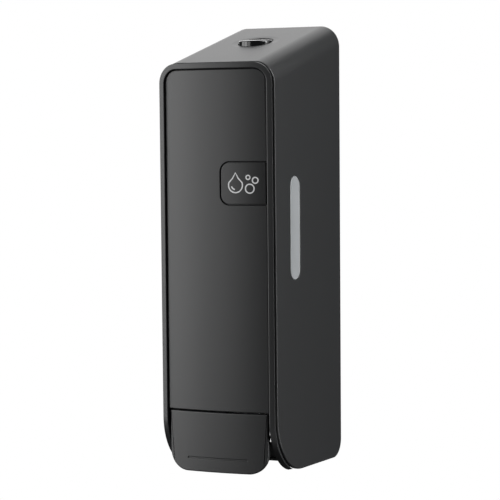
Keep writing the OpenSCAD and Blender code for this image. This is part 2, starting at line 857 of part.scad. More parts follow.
module yoke_screws() color("#b9bcc0") {
  rear_y = pad_y + yoke_t;
  for (x = [-1, 1]) {
    bar_y(x * yoke_screw_x, pad_y - 3.6, rear_y, yoke_screw_z, yoke_screw_r);
    bar_y(x * yoke_screw_x, rear_y, rear_y + 1.5, yoke_screw_z, 2.4);
  }
}

// ---- Release button ----

module release_button() color("#1f2022") {
  difference() {
    union() {
      bar_z(cap_under_z, cover_h + 5, button_r, button_y);
      bar_z(stem_low_z, cap_under_z + over, button_stem_r, button_y);
    }
    translate([0, button_y, top_z(button_y) + button_proud]) rotate([button_tilt, 0, 0])
      translate([-20, -20, 0]) cube([40, 40, 40]);
    bar_z(stem_low_z - over, stem_low_z + 7, hook_screw_r, button_y);
  }
}

module button_spring() color("#cfd2d6") {
  coil(button_y, guide_floor_z + guide_floor_t, cap_under_z, 6, 0.4, 4);
}

module latch_hook() color("#d9dadb") {
  difference() {
    across(-hook_half, hook_half) polygon([
      [button_y - 6, hook_low_z], [button_y - 6, stem_low_z], [tooth_y, stem_low_z],
      [tooth_y, tooth_top_z], [tooth_y + tooth_w, tooth_top_z], [tooth_y + tooth_w, hook_low_z]
    ]);
    bar_z(hook_low_z - over, stem_low_z + over, hook_screw_r, button_y);
  }
}

module hook_screw() color("#b9bcc0") {
  bar_z(hook_low_z - 1.6, hook_low_z, 3, button_y);
  bar_z(hook_low_z, stem_low_z + 6.5, hook_screw_r, button_y);
}

module placed() translate([0, 0, -screw_centre_z]) children();

placed() wall_plate();
placed() bottle_shelf();
placed() shelf_screws();
placed() bottle();
placed() bottle_cap();
placed() neck_gasket();
placed() pump_body();
placed() valve_cage();
placed() inlet_ball();
placed() pump_spring();
placed() nozzle();
placed() piston();
placed() piston_seal();
placed() outlet_valve();
placed() nozzle_ring();
placed() cover_shell();
placed() hinge_pins();
placed() front_frame();
placed() front_panel();
placed() label_tile();
placed() window_left();
placed() window_right();
placed() cover_screws();
placed() lower_shroud();
placed() button_guide();
placed() lever_pin();
placed() push_lever();
placed() lever_yoke();
placed() yoke_screws();
placed() release_button();
placed() button_spring();
placed() latch_hook();
placed() hook_screw();
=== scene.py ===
"""Looks of a wall mounted soap dispenser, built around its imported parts.

Sizes are in millimetres until a mesh is made. Heights are counted from the cover's bottom edge, +X is to the
right, +Y points into the wall, and the front leans back a little on its way down.
"""

import json  # noqa: E402
import logging  # noqa: E402
import math  # noqa: E402
from dataclasses import dataclass  # noqa: E402
from enum import Enum  # noqa: E402
from typing import Callable, Iterable, Sequence  # noqa: E402

import bmesh  # noqa: E402
import bpy  # noqa: E402
from mathutils import Matrix, Vector  # noqa: E402

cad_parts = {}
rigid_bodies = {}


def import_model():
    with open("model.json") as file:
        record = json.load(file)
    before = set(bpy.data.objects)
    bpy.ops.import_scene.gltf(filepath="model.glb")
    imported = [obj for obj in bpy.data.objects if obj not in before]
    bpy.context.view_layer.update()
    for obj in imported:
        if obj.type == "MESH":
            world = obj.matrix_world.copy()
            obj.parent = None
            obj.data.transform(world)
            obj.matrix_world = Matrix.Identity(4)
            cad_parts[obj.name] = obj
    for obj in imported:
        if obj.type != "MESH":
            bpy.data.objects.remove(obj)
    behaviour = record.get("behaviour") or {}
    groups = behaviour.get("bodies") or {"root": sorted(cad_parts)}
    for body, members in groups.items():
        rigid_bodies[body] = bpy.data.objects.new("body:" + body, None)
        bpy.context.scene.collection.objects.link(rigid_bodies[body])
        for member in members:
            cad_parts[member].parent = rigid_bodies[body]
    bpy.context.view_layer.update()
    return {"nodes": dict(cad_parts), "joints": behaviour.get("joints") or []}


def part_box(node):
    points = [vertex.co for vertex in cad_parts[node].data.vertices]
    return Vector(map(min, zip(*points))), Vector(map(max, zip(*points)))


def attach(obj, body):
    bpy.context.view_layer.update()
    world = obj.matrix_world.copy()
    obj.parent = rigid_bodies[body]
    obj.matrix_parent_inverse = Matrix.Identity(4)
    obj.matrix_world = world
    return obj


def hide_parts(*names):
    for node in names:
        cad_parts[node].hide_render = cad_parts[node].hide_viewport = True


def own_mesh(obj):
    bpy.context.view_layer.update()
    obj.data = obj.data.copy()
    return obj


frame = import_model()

log = logging.getLogger("dispenser")

MM = 0.001
BASE_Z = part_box("cover_shell")[0].z / MM
MERGE = 0.002 * MM
Point = tuple[float, float]
Mesh = bpy.types.Object
Place = Callable[[Vector], Vector]


class Axis(Enum):
    """The direction in which an outline is drawn out, and the plane the outline lies in."""

    X = "outline in Y and Z"
    Y = "outline in X and Z"
    Z = "outline in X and Y"


# Where a point of an outline and its distance along the axis go.
ORDER = {
    Axis.X: lambda a, b, t: (t, a, b),
    Axis.Y: lambda a, b, t: (a, t, b),
    Axis.Z: lambda a, b, t: (a, b, t),
}


class Join(Enum):
    """How two solids are put together."""

    ADD = "UNION"
    CUT = "DIFFERENCE"
    KEEP = "INTERSECT"


class Body(Enum):
    """The bodies that pieces ride on."""

    WALL = "wall_unit"
    PUMP = "pump_slider"
    COVER = "cover"
    LEVER = "lever"
    RELEASE = "release"


# ---- Places ----


def box_mm(node: str) -> tuple[Vector, Vector]:
    """Gives a node's box in millimetres, with heights from the cover's bottom edge.

    Args:
        node: The node's name.

    Returns:
        The lowest and the highest corner.
    """
    low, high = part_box(node)
    shift = Vector((0, 0, BASE_Z))
    return low / MM - shift, high / MM - shift


def joint_mm(name: str) -> Point:
    """Gives the depth and height of a hinge axis, from the record."""
    place = next(j["pos_m"] for j in frame["joints"] if j["name"] == name)
    return place[1] / MM, place[2] / MM - BASE_Z


@dataclass(frozen=True)
class Datum:
    """Main planes and axes of the dispenser, in millimetres."""

    half_w: float
    front_y: float
    front_top_z: float
    top_rear_z: float
    hinge: Point
    pivot: Point
    pump_y: float
    button_y: float
    wall_t: float = 2.5
    front_lean: float = 1.5
    chin_r: float = 35.0
    front_r: float = 172.0
    stand: float = 0.8
    opening_half: float = 33.0
    pin_r: float = 2.0
    bore_r: float = 2.03
    top_drop: float = 24.8
    top_rear_y: float = -1.0

    @property
    def slope(self) -> float:
        """Fall of the top for each millimetre towards the front."""
        return (self.top_rear_z - self.front_top_z) / (self.top_rear_y - self.front_y)

    @property
    def slope_angle(self) -> float:
        """Angle of the sloping top, in radians."""
        return math.atan(self.slope)

    @property
    def chin(self) -> Point:
        """Centre of the lower front corner, as depth and height."""
        return self.front_y + self.front_lean + self.chin_r, self.chin_r

    @property
    def lean_angle(self) -> float:
        """Angle by which the front leans back, in radians."""
        return math.atan(self.front_lean / (self.front_top_z - self.chin_r))

    @property
    def axis_y(self) -> float:
        """Depth of the axis that the front's curve turns about."""
        return self.front_y - self.stand + math.sqrt(self.front_r**2 - self.opening_half**2)

    def top_z(self, y: float) -> float:
        """Height of the sloping top at a depth."""
        return self.front_top_z + self.slope * (y - self.front_y)

    def face_y(self, x: float, grow: float = 0.0) -> float:
        """Depth of the curved front at a place across it, grown outwards by a distance."""
        return self.axis_y - math.sqrt((self.front_r + grow) ** 2 - x * x)

    def leaned(self, p: Vector) -> Vector:
        """Leans a point back with the front, about the cover's upper front edge.

        Args:
            p: The point, in millimetres.

        Returns:
            The point in its leaning place.
        """
        c, s = math.cos(self.lean_angle), math.sin(self.lean_angle)
        y, z = p.y - self.front_y, p.z - self.front_top_z
        return Vector((p.x, self.front_y + y * c - z * s, self.front_top_z + y * s + z * c))


def read_datum() -> Datum:
    """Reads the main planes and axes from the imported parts.

    Returns:
        The planes and axes.
    """
    low, high = box_mm("cover_shell")
    nozzle, button = box_mm("nozzle"), box_mm("release_button")
    return Datum(
        half_w=high.x,
        front_y=low.y,
        front_top_z=high.z - Datum.top_drop * (Datum.top_rear_y - low.y) / -low.y,
        top_rear_z=high.z,
        hinge=joint_mm("cover_hinge"),
        pivot=joint_mm("lever_press"),
        pump_y=(nozzle[0].y + nozzle[1].y) / 2,
        button_y=(button[0].y + button[1].y) / 2,
    )


# ---- Meshes ----


def to_object(name: str, bm: bmesh.types.BMesh, place: Place | None = None) -> Mesh:
    """Makes an object from a mesh in millimetres, in the shared frame.

    Args:
        name: The object's name.
        bm: The mesh, which is freed.
        place: A change of place for every point, still in millimetres.

    Returns:
        The object, linked to the scene, with its place in its mesh.
    """
    for v in bm.verts:
        p = place(v.co) if place else v.co
        v.co = Vector((p.x, p.y, p.z + BASE_Z)) * MM
    bmesh.ops.recalc_face_normals(bm, faces=bm.faces)
    mesh = bpy.data.meshes.new(name)
    bm.to_mesh(mesh)
    bm.free()
    obj = bpy.data.objects.new(name, mesh)
    bpy.context.scene.collection.objects.link(obj)
    return obj


def arc(cx: float, cy: float, r: float, a0: float, a1: float, steps: int = 16) -> list[Point]:
    """Points on an arc, both ends included, with angles in degrees."""
    turns = [math.radians(a0 + (a1 - a0) * i / steps) for i in range(steps + 1)]
    return [(cx + r * math.cos(t), cy + r * math.sin(t)) for t in turns]


def ring_of(cx: float, cy: float, r: float, steps: int) -> list[Point]:
    """Points on a whole circle, each of them once."""
    return arc(cx, cy, r, 0, 360, steps)[:-1]


def rounded(x0: float, y0: float, x1: float, y1: float, radii: Sequence[float],
            steps: int = 14) -> list[Point]:
    """Outline of a rectangle with its own radius at each corner.

    Args:
        x0: Left side.
        y0: Lower side.
        x1: Right side.
        y1: Upper side.
        radii: Radii of the lower left, lower right, upper right and upper left corners.
        steps: Steps on each corner.

    Returns:
        The outline's points, anticlockwise.
    """
    corners = ((x0, y0, 1, 1, 180), (x1, y0, -1, 1, 270), (x1, y1, -1, -1, 0), (x0, y1, 1, -1, 90))
    points: list[Point] = []
    for (x, y, sx, sy, a), r in zip(corners, radii):
        points += [(x, y)] if r <= 0 else arc(x + sx * r, y + sy * r, r, a, a + 90, steps)
    return points


def prism(name: str, outline: Sequence[Point], axis: Axis, lo: float, hi: float,
          place: Place | None = None) -> Mesh:
    """Draws an outline out to a solid between two planes.

    Args:
        name: The object's name.
        outline: The closed outline, in the axis' plane.
        axis: The direction of the drawing out.
        lo: The first plane.
        hi: The second plane.
        place: A change of place for every point.

    Returns:
        The solid.
    """
    bm = bmesh.new()
    rings = [[bm.verts.new(ORDER[axis](a, b, t)) for a, b in outline] for t in (lo, hi)]
    bm.faces.new(rings[0])
    bm.faces.new(list(reversed(rings[1])))
    for i in range(len(outline)):
        j = (i + 1) % len(outline)
        bm.faces.new((rings[0][i], rings[1][i], rings[1][j], rings[0][j]))
    return to_object(name, bm, place)


def lathe(name: str, profile: Sequence[Point], centre: Vector, axis: Axis, steps: int = 64,
          place: Place | None = None) -> Mesh:
    """Turns a profile about an axis.

    Args:
        name: The object's name.
        profile: Radius and distance along the axis. It is closed, or its two ends lie on the axis.
        centre: A point of the axis.
        axis: The axis' direction.
        steps: Steps round the axis.
        place: A change of place for every point.

    Returns:
        The turned solid.
    """
    bm = bmesh.new()
    rings = []
    for r, t in profile:
        turns = [0.0] if r < 1e-6 else [2 * math.pi * i / steps for i in range(steps)]
        points = [Vector(ORDER[axis](r * math.cos(a), r * math.sin(a), t)) + centre for a in turns]
        rings.append([bm.verts.new(p) for p in points])
    pairs = list(zip(rings, rings[1:]))
    if profile[0][0] > 1e-6:
        pairs.append((rings[-1], rings[0]))
    for one, two in pairs:
        for i in range(steps):
            j = (i + 1) % steps
            corners = [one[i % len(one)], one[j % len(one)], two[j % len(two)], two[i % len(two)]]
            unique = list(dict.fromkeys(corners))
            if len(unique) > 2:
                bm.faces.new(unique)
    return to_object(name, bm, place)


def bake(obj: Mesh) -> Mesh:
    """Applies an object's modifiers to its mesh.

    Args:
        obj: The object.

    Returns:
        The same object, with a plain mesh.
    """
    evaluated = obj.evaluated_get(bpy.context.evaluated_depsgraph_get())
    mesh = bpy.data.meshes.new_from_object(evaluated)
    old = obj.data
    obj.modifiers.clear()
    obj.data = mesh
    mesh.name = obj.name
    bpy.data.meshes.remove(old)
    return obj


def combine(base: Mesh, join: Join, *tools: Mesh) -> Mesh:
    """Adds solids to a solid, cuts them from it or keeps what they share.

    Args:
        base: The solid that is changed.
        join: What is done.
        tools: The other solids, which are used up.

    Returns:
        The changed solid.
    """
    for tool in tools:
        modifier = base.modifiers.new("join", "BOOLEAN")
        modifier.operation, modifier.solver, modifier.object = join.value, "EXACT", tool
        bake(base)
        bpy.data.objects.remove(tool)
    return base


def tidy(obj: Mesh, angle: float = 0.15) -> Mesh:
    """Merges double points and takes out edges on flat ground.

    Args:
        obj: The piece.
        angle: Bend below which an edge counts as flat, in degrees.

    Returns:
        The piece.
    """
    bm = bmesh.new()
    bm.from_mesh(obj.data)
    bmesh.ops.remove_doubles(bm, verts=bm.verts, dist=MERGE)
    bmesh.ops.dissolve_degenerate(bm, edges=bm.edges, dist=MERGE)
    bmesh.ops.dissolve_limit(bm, angle_limit=math.radians(angle), verts=bm.verts, edges=bm.edges)
    bm.to_mesh(obj.data)
    bm.free()
    return obj


def soften(obj: Mesh, width: float, segments: int = 3, sharp: float = 30.0,
           share: Callable[[Vector], float] | None = None, clamp: bool = False) -> Mesh:
    """Rounds the sharp edges of a solid and sets its shading.

    Args:
        obj: The solid.
        width: Width of the rounding, in millimetres.
        segments: Steps across the rounding.
        sharp: Least angle of an edge that is rounded, in degrees.
        share: Gives the part of the width for an edge, from its middle in millimetres.
        clamp: Keeps every rounding narrower than the faces beside it.

    Returns:
        The solid.
    """
    tidy(obj)
    bm = bmesh.new()
    bm.from_mesh(obj.data)
    weight = bm.edges.layers.float.get("bevel_weight_edge") or bm.edges.layers.float.new("bevel_weight_edge")
    for edge in bm.edges:
        if len(edge.link_faces) == 2 and edge.calc_face_angle(0.0) > math.radians(sharp):
            middle = (edge.verts[0].co + edge.verts[1].co) / 2 / MM - Vector((0, 0, BASE_Z))
            edge[weight] = share(middle) if share else 1.0
    bm.to_mesh(obj.data)
    bm.free()
    bevel = obj.modifiers.new("rounding", "BEVEL")
    bevel.width, bevel.segments, bevel.limit_method = width * MM, segments, "WEIGHT"
    bevel.use_clamp_overlap, bevel.miter_outer = clamp, "MITER_SHARP" if clamp else "MITER_ARC"
    bake(obj)
    return shade(obj, 40.0)


def shade(obj: Mesh, angle: float = 35.0) -> Mesh:
    """Sets smooth shading, with flats kept flat.

    Args:
        obj: The piece.
        angle: Bend above which an edge stays sharp, in degrees.

    Returns:
        The piece.
    """
    obj.data.shade_smooth()
    obj.data.set_sharp_from_angle(angle=math.radians(angle))
    even = obj.modifiers.new("normals", "WEIGHTED_NORMAL")
    even.keep_sharp = True
    return bake(obj)


def refined(node: str, name: str, width: float, segments: int = 2) -> Mesh:
    """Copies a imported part, joins its loose triangles and rounds its edges.

    Args:
        node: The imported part.
        name: The new piece's name.
        width: Width of the rounding, in millimetres.
        segments: Steps across the rounding.

    Returns:
        The new piece.
    """
    mesh = frame["nodes"][node].data.copy()
    mesh.materials.clear()
    obj = bpy.data.objects.new(name, mesh)
    bpy.context.scene.collection.objects.link(obj)
    bm = bmesh.new()
    bm.from_mesh(mesh)
    bmesh.ops.remove_doubles(bm, verts=bm.verts, dist=MERGE)
    bmesh.ops.dissolve_limit(bm, angle_limit=math.radians(0.5), verts=bm.verts, edges=bm.edges)
    bm.to_mesh(mesh)
    bm.free()
    return soften(obj, width, segments, sharp=35.0, clamp=True)


# ---- Finishes ----


def linear(code: str) -> tuple[float, float, float, float]:
    """Turns a colour to linear values with full alpha.

    Args:
        code: The sRGB hex colour.

    Returns:
        Red, green, blue and alpha.
    """
    parts = [int(code[i:i + 2], 16) / 255 for i in (1, 3, 5)]
    red, green, blue = (c / 12.92 if c <= 0.04045 else ((c + 0.055) / 1.055) ** 2.4 for c in parts)
    return red, green, blue, 1.0


def add_node(tree: bpy.types.NodeTree, kind: str, settings: dict | None = None,
             links: dict | None = None) -> bpy.types.Node:
    """Adds a node with its settings and links.

    Args:
        tree: The tree that gets the node.
        kind: The node's type name.
        settings: Values of properties, or of inputs by name or number.
        links: Output sockets, by the name or number of the input that each one feeds.

    Returns:
        The node.
    """
    node = tree.nodes.new(kind)
    for key, value in (settings or {}).items():
        if isinstance(key, str) and key in node.bl_rna.properties:
            setattr(node, key, value)
        else:
            node.inputs[key].default_value = value
    for key, socket in (links or {}).items():
        tree.links.new(socket, node.inputs[key])
    return node


@dataclass(frozen=True)
class Finish:
    """A finish with fine grain, cloudy colour and uneven gloss, for moulded plastics, rubber and metals."""

    name: str
    colour: str
    roughness: float
    grain_mm: float = 0.5
    grain_depth_mm: float = 0.008
    cloud_mm: float = 18.0
    cloud: float = 0.06
    uneven: float = 0.04
    metallic: float = 0.0
    ior: float = 1.5
    transmission: float = 0.0
    coat: float = 0.0
    stretch: tuple[float, float, float] = (1.0, 1.0, 1.0)

    def make(self) -> bpy.types.Material:
        """Builds the material.

        Returns:
            The material.
        """
        material = bpy.data.materials.new(self.name)
        material.use_nodes = True
        tree = material.node_tree
        tree.nodes.clear()
        place = add_node(tree, "ShaderNodeTexCoord").outputs["Object"]
        placed = add_node(tree, "ShaderNodeMapping", {"Scale": self.stretch}, {"Vector": place}).outputs[0]
        grain = add_node(tree, "ShaderNodeTexNoise", {"Scale": 1 / (self.grain_mm * MM), "Detail": 2.0},
                         {"Vector": placed})
        cloud = add_node(tree, "ShaderNodeTexNoise", {"Scale": 1 / (self.cloud_mm * MM), "Detail": 3.0},
                         {"Vector": place})
        base = linear(self.colour)
        dark = tuple(c * (1 - self.cloud) for c in base[:3]) + (1.0,)
        light = tuple(min(1.0, c * (1 + self.cloud)) for c in base[:3]) + (1.0,)
        tint = add_node(tree, "ShaderNodeMix", {"data_type": "RGBA", 6: dark, 7: light},
                        {0: cloud.outputs["Fac"]})
        gloss = add_node(tree, "ShaderNodeMapRange",
                         {"To Min": self.roughness - self.uneven, "To Max": self.roughness + self.uneven},
                         {"Value": grain.outputs["Fac"]})
        bump = add_node(tree, "ShaderNodeBump", {"Strength": 0.35, "Distance": self.grain_depth_mm * MM},
                        {"Height": grain.outputs["Fac"]})
        shader = add_node(tree, "ShaderNodeBsdfPrincipled",
                          {"Metallic": self.metallic, "IOR": self.ior,
                           "Transmission Weight": self.transmission,
                           "Coat Weight": self.coat, "Coat Roughness": 0.12},
                          {"Base Color": tint.outputs[2], "Roughness": gloss.outputs["Result"],
                           "Normal": bump.outputs["Normal"]})
        add_node(tree, "ShaderNodeOutputMaterial", None, {"Surface": shader.outputs["BSDF"]})
        return material


# Black ABS from a fine spark-eroded mould: a satin grain that spreads every highlight. The real grain is
# about 0.1 mm, and it is drawn at 0.5 mm so that it shows.
COVER_FINISH = Finish("moulded_abs_cover", "#1d1e1f", 0.40)
FRAME_FINISH = Finish("moulded_abs_frame", "#1b1c1d", 0.38)
PANEL_FINISH = Finish("moulded_abs_panel", "#1c1d1e", 0.40)
LEVER_FINISH = Finish("moulded_abs_lever", "#1a1b1c", 0.40)
SHROUD_FINISH = Finish("moulded_abs_shroud", "#242526", 0.45)
# Black ABS from a polished mould: mirror-like, with faint flow marks.
BUTTON_FINISH = Finish("polished_abs_button", "#111213", 0.16, grain_mm=2.0, grain_depth_mm=0.004, coat=0.3)
# Smooth acrylic lacquer over black print: glossier and a little darker than the panel.
TILE_FINISH = Finish("lacquered_label_tile", "#161718", 0.32, grain_mm=1.2, grain_depth_mm=0.003)
# White screen-print ink: chalky, with a slightly uneven edge to edge tone.
INK_FINISH = Finish("screen_print_ink", "#d9dadb", 0.55, grain_mm=0.4, grain_depth_mm=0.004, cloud_mm=3.0)
# Frosted polycarbonate: milky grey, light passes but no shape does.
WINDOW_FINISH = Finish("frosted_polycarbonate", "#919496", 0.42, grain_mm=0.6, transmission=0.12, ior=1.58)
# Pale grey ABS of the rear plate and the shelf: plain moulded service parts.
PLATE_FINISH = Finish("moulded_abs_plate", "#d3d5d6", 0.48, grain_mm=0.8)
SHELF_FINISH = Finish("moulded_abs_shelf", "#bfc2c4", 0.48, grain_mm=0.8)
GUIDE_FINISH = Finish("moulded_abs_guide", "#cfd1d3", 0.45, grain_mm=0.8)
# Natural high density polyethylene, blow moulded: milky and waxy with soft flow clouds.
BOTTLE_FINISH = Finish("blown_polyethylene", "#e3e9ea", 0.38, grain_mm=1.5, cloud_mm=30.0, transmission=0.45,
                       ior=1.54)
# White polypropylene: waxy sheen of moulded closures and pump parts.
CAP_FINISH = Finish("moulded_polypropylene_cap", "#ecece9", 0.42, grain_mm=0.9)
PUMP_FINISH = Finish("moulded_polypropylene_pump", "#e4e8ea", 0.30, grain_mm=0.9)
NOZZLE_FINISH = Finish("moulded_polypropylene_nozzle", "#efefef", 0.34, grain_mm=0.9)
# Moulded rubber: dull, almost without a highlight.
GASKET_FINISH = Finish("moulded_rubber_gasket", "#26272a", 0.75, grain_mm=0.4)
SEAL_FINISH = Finish("moulded_nitrile_seal", "#1b1b1d", 0.62, grain_mm=0.4)
SILICONE_FINISH = Finish("moulded_silicone", "#ddd8cc", 0.50, grain_mm=0.7, transmission=0.15, ior=1.41)
# Acetal: dense, slightly greasy looking white plastic.
YOKE_FINISH = Finish("moulded_acetal_yoke", "#dcdfe0", 0.33, grain_mm=1.0)
HOOK_FINISH = Finish("moulded_acetal_hook", "#dcdfe0", 0.33, grain_mm=1.0)
# Ground rod, drawn wire and zinc plate; only the rod's grain is stretched into fine lines along it.
BALL_FINISH = Finish("polished_steel_ball", "#c4c8cb", 0.10, grain_mm=0.8, grain_depth_mm=0.002, metallic=1.0)
SPRING_FINISH = Finish("drawn_steel_wire", "#b9bcc0", 0.28, grain_mm=0.3, metallic=1.0)
PIN_FINISH = Finish("ground_steel_rod", "#b1b5b9", 0.24, grain_mm=0.25, metallic=1.0, stretch=(8.0, 1.0, 1.0))
SCREW_FINISH = Finish("zinc_plated_steel", "#b6b9b4", 0.32, grain_mm=0.35, metallic=1.0)

_made: dict[str, bpy.types.Material] = {}


def dress(obj: Mesh, finish: Finish) -> Mesh:
    """Gives a piece its finish.

    Args:
        obj: The piece.
        finish: The finish.

    Returns:
        The piece.
    """
    if finish.name not in _made:
        _made[finish.name] = finish.make()
    obj.data.materials.clear()
    obj.data.materials.append(_made[finish.name])
    return obj


def settle(obj: Mesh, finish: Finish, slot: str | None, body: Body, *nodes: str) -> Mesh:
    """Dresses a finished piece, puts it on its body and hides the nodes that it stands for.

    Args:
        obj: The piece.
        finish: Its finish.
        slot: The record's material slot.
        body: The body it rides on.
        nodes: The nodes it replaces.

    Returns:
        The piece.
    """
    dress(obj, finish)
    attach(obj, body.value)
    if nodes:
        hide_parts(*nodes)
    log.info("%s: %d faces on %s", obj.name, len(obj.data.polygons), body.value)
    return obj


# ---- Repeated details, by Geometry Nodes ----


class Repeater:
    """A Geometry Nodes tree with named inputs, applied to a fresh mesh."""

    def __init__(self, name: str, inputs: Sequence[tuple[str, str]]) -> None:
        """Starts a tree.

        Args:
            name: The tree's name.
            inputs: Name and socket type of each input after the geometry.
        """
        self.tree = bpy.data.node_groups.new(name, "GeometryNodeTree")
        face = self.tree.interface
        face.new_socket("Geometry", in_out="INPUT", socket_type="NodeSocketGeometry")
        self.ids = {n: face.new_socket(n, in_out="INPUT", socket_type=t).identifier for n, t in inputs}
        face.new_socket("Geometry", in_out="OUTPUT", socket_type="NodeSocketGeometry")
        self.source = add_node(self.tree, "NodeGroupInput").outputs

    def close(self, geometry: bpy.types.NodeSocket, extra: bpy.types.NodeSocket | None = None) -> None:
        """Ends the tree in real, dressed geometry.

        Args:
            geometry: The socket with the instances or mesh.
            extra: A socket with geometry that is joined to them.
        """
        real = add_node(self.tree, "GeometryNodeRealizeInstances", None, {"Geometry": geometry}).outputs[0]
        if extra is not None:
            both = add_node(self.tree, "GeometryNodeJoinGeometry")
            self.tree.links.new(extra, both.inputs[0])
            self.tree.links.new(real, both.inputs[0])
            real = both.outputs[0]
        dressed = add_node(self.tree, "GeometryNodeSetMaterial", None,
                           {"Geometry": real, "Material": self.source["Material"]})
        add_node(self.tree, "NodeGroupOutput", None, {0: dressed.outputs[0]})

    def run(self, obj: Mesh, values: dict) -> Mesh:
        """Runs the tree on an object and keeps the plain mesh.

        Args:
            obj: The object.
            values: The inputs' values by name.

        Returns:
            The object, with the result as its mesh.
        """
        modifier = obj.modifiers.new(self.tree.name, "NODES")
        modifier.node_group = self.tree
        for name, value in values.items():
            modifier[self.ids[name]] = value
        obj.update_tag()
        bpy.context.view_layer.update()
        return bake(obj)


def screw_repeater() -> Repeater:
    """Makes the tree that sets one screw on each point of a mesh.

    Returns:
        The tree.
    """
    made = Repeater("screw_set", [("Screw", "NodeSocketObject"), ("Material", "NodeSocketMaterial")])
    tree, source = made.tree, made.source
    screw = add_node(tree, "GeometryNodeObjectInfo", None, {"Object": source["Screw"]}).outputs["Geometry"]
    spread = add_node(tree, "GeometryNodeInstanceOnPoints", None,
                      {"Points": source["Geometry"], "Instance": screw})
    made.close(spread.outputs[0])
    return made


def rib_repeater() -> Repeater:
    """Makes the tree that sets grip ribs round a cap.

    Returns:
        The tree.
    """
    sizes = ["Radius", "Middle Depth", "Middle Height", "Rib Depth", "Rib Width", "Rib Height"]
    made = Repeater("grip_ribs", [("Count", "NodeSocketInt"), *((s, "NodeSocketFloat") for s in sizes),
                                  ("Material", "NodeSocketMaterial")])
    tree, source = made.tree, made.source
    size = add_node(tree, "ShaderNodeCombineXYZ", None,
                    {"X": source["Rib Depth"], "Y": source["Rib Width"], "Z": source["Rib Height"]})
    rib = add_node(tree, "GeometryNodeMeshCube", None, {"Size": size.outputs[0]}).outputs["Mesh"]
    ring = add_node(tree, "GeometryNodeMeshCircle", None,
                    {"Vertices": source["Count"], "Radius": source["Radius"]})
    place = add_node(tree, "GeometryNodeInputPosition").outputs[0]
    turn = add_node(tree, "FunctionNodeAlignEulerToVector", {"axis": "X"}, {"Vector": place})
    spread = add_node(tree, "GeometryNodeInstanceOnPoints", None,
                      {"Points": ring.outputs["Mesh"], "Instance": rib, "Rotation": turn.outputs[0]})
    shift = add_node(tree, "ShaderNodeCombineXYZ", None,
                     {"Y": source["Middle Depth"], "Z": source["Middle Height"]})
    moved = add_node(tree, "GeometryNodeTransform", None,
                     {"Geometry": spread.outputs[0], "Translation": shift.outputs[0]})
    made.close(moved.outputs[0], source["Geometry"])
    return made


def coil_repeater() -> Repeater:
    """Makes the tree that winds a wire spring up an upright axis.

    Returns:
        The tree.
    """
    sizes = ["Turns", "Radius", "Height", "Wire", "Middle Depth", "Low Height"]
    made = Repeater("wound_spring",
                    [*((s, "NodeSocketFloat") for s in sizes), ("Material", "NodeSocketMaterial")])
    tree, source = made.tree, made.source
    line = add_node(tree, "GeometryNodeCurveSpiral", {"Resolution": 40},
                    {"Rotations": source["Turns"], "Start Radius": source["Radius"],
                     "End Radius": source["Radius"], "Height": source["Height"]})
    ring = add_node(tree, "GeometryNodeCurvePrimitiveCircle", {"Resolution": 12}, {"Radius": source["Wire"]})
    wire = add_node(tree, "GeometryNodeCurveToMesh", {"Fill Caps": True},
                    {"Curve": line.outputs[0], "Profile Curve": ring.outputs[0]})
    shift = add_node(tree, "ShaderNodeCombineXYZ", None,
                     {"Y": source["Middle Depth"], "Z": source["Low Height"]})
    moved = add_node(tree, "GeometryNodeTransform", None,
                     {"Geometry": wire.outputs[0], "Translation": shift.outputs[0]})
    made.close(moved.outputs[0])
    return made


@dataclass(frozen=True)
class Screw:
    """A pan head screw with a cross recess, in millimetres, its head's underside at the origin."""

    shank_r: float
    shank_l: float
    head_r: float
    head_h: float
    thread: float = 0.8

    def make(self, name: str, head_towards: Vector) -> Mesh:
        """Builds one screw.

        Args:
            name: The object's name.
            head_towards: The direction in which the head stands up.

        Returns:
            The screw, in metres about the origin, shared by every place that it goes to.
        """
        r, h = self.head_r, self.head_h
        profile: list[Point] = [(0, h), (r * 0.45, h * 0.98), (r * 0.8, h * 0.82), (r * 0.97, h * 0.45)]
        profile += [(r, 0.15), (r * 0.97, 0.0), (self.shank_r, 0.0)]
        depth = -0.6
        while depth > -self.shank_l + 1.0:
            profile += [(self.shank_r, depth), (self.shank_r * 0.84, depth - self.thread / 2)]
            depth -= self.thread
        profile += [(self.shank_r * 0.8, -self.shank_l + 0.5), (self.shank_r * 0.5, -self.shank_l)]
        profile.append((0, -self.shank_l))
        lift = Vector((0, 0, -BASE_Z))
        body = lathe(name, profile, lift, Axis.Z, 32)
        arm, thin = r * 0.55, r * 0.13
        for a, b in ((arm, thin), (thin, arm)):
            combine(body, Join.CUT, prism("recess", rounded(-a, -b, a, b, (thin * 0.6,) * 4, 3), Axis.Z,
                                          h * 0.45 - BASE_Z, h + 1 - BASE_Z))
        shade(tidy(body), 30.0)
        body.data.transform(Vector((0, 0, 1)).rotation_difference(head_towards).to_matrix().to_4x4())
        return body


class ScrewKit:
    """Sets screws of one kind on several places with the shared tree."""

    def __init__(self) -> None:
        """Builds the shared tree."""
        self.repeater = screw_repeater()

    def place(self, name: str, screw: Screw, towards: Vector, places: Iterable[Vector], body: Body,
              *nodes: str) -> Mesh:
        """Makes one piece with a screw on each place.

        Args:
            name: The piece's name.
            screw: The kind of screw.
            towards: The direction in which the heads stand up.
            places: Points under the heads, in millimetres.
            body: The body that the screws ride on.
            nodes: The nodes that they replace.

        Returns:
            The piece.
        """
        one = screw.make(f"{name}_one", towards)
        bm = bmesh.new()
        for p in places:
            bm.verts.new(p)
        obj = to_object(name, bm)
        finish = _made.setdefault(SCREW_FINISH.name, SCREW_FINISH.make())
        self.repeater.run(obj, {"Screw": one, "Material": finish})
        bpy.data.objects.remove(one)
        return settle(obj, SCREW_FINISH, "screw_steel", body, *nodes)


# ---- Cover ----


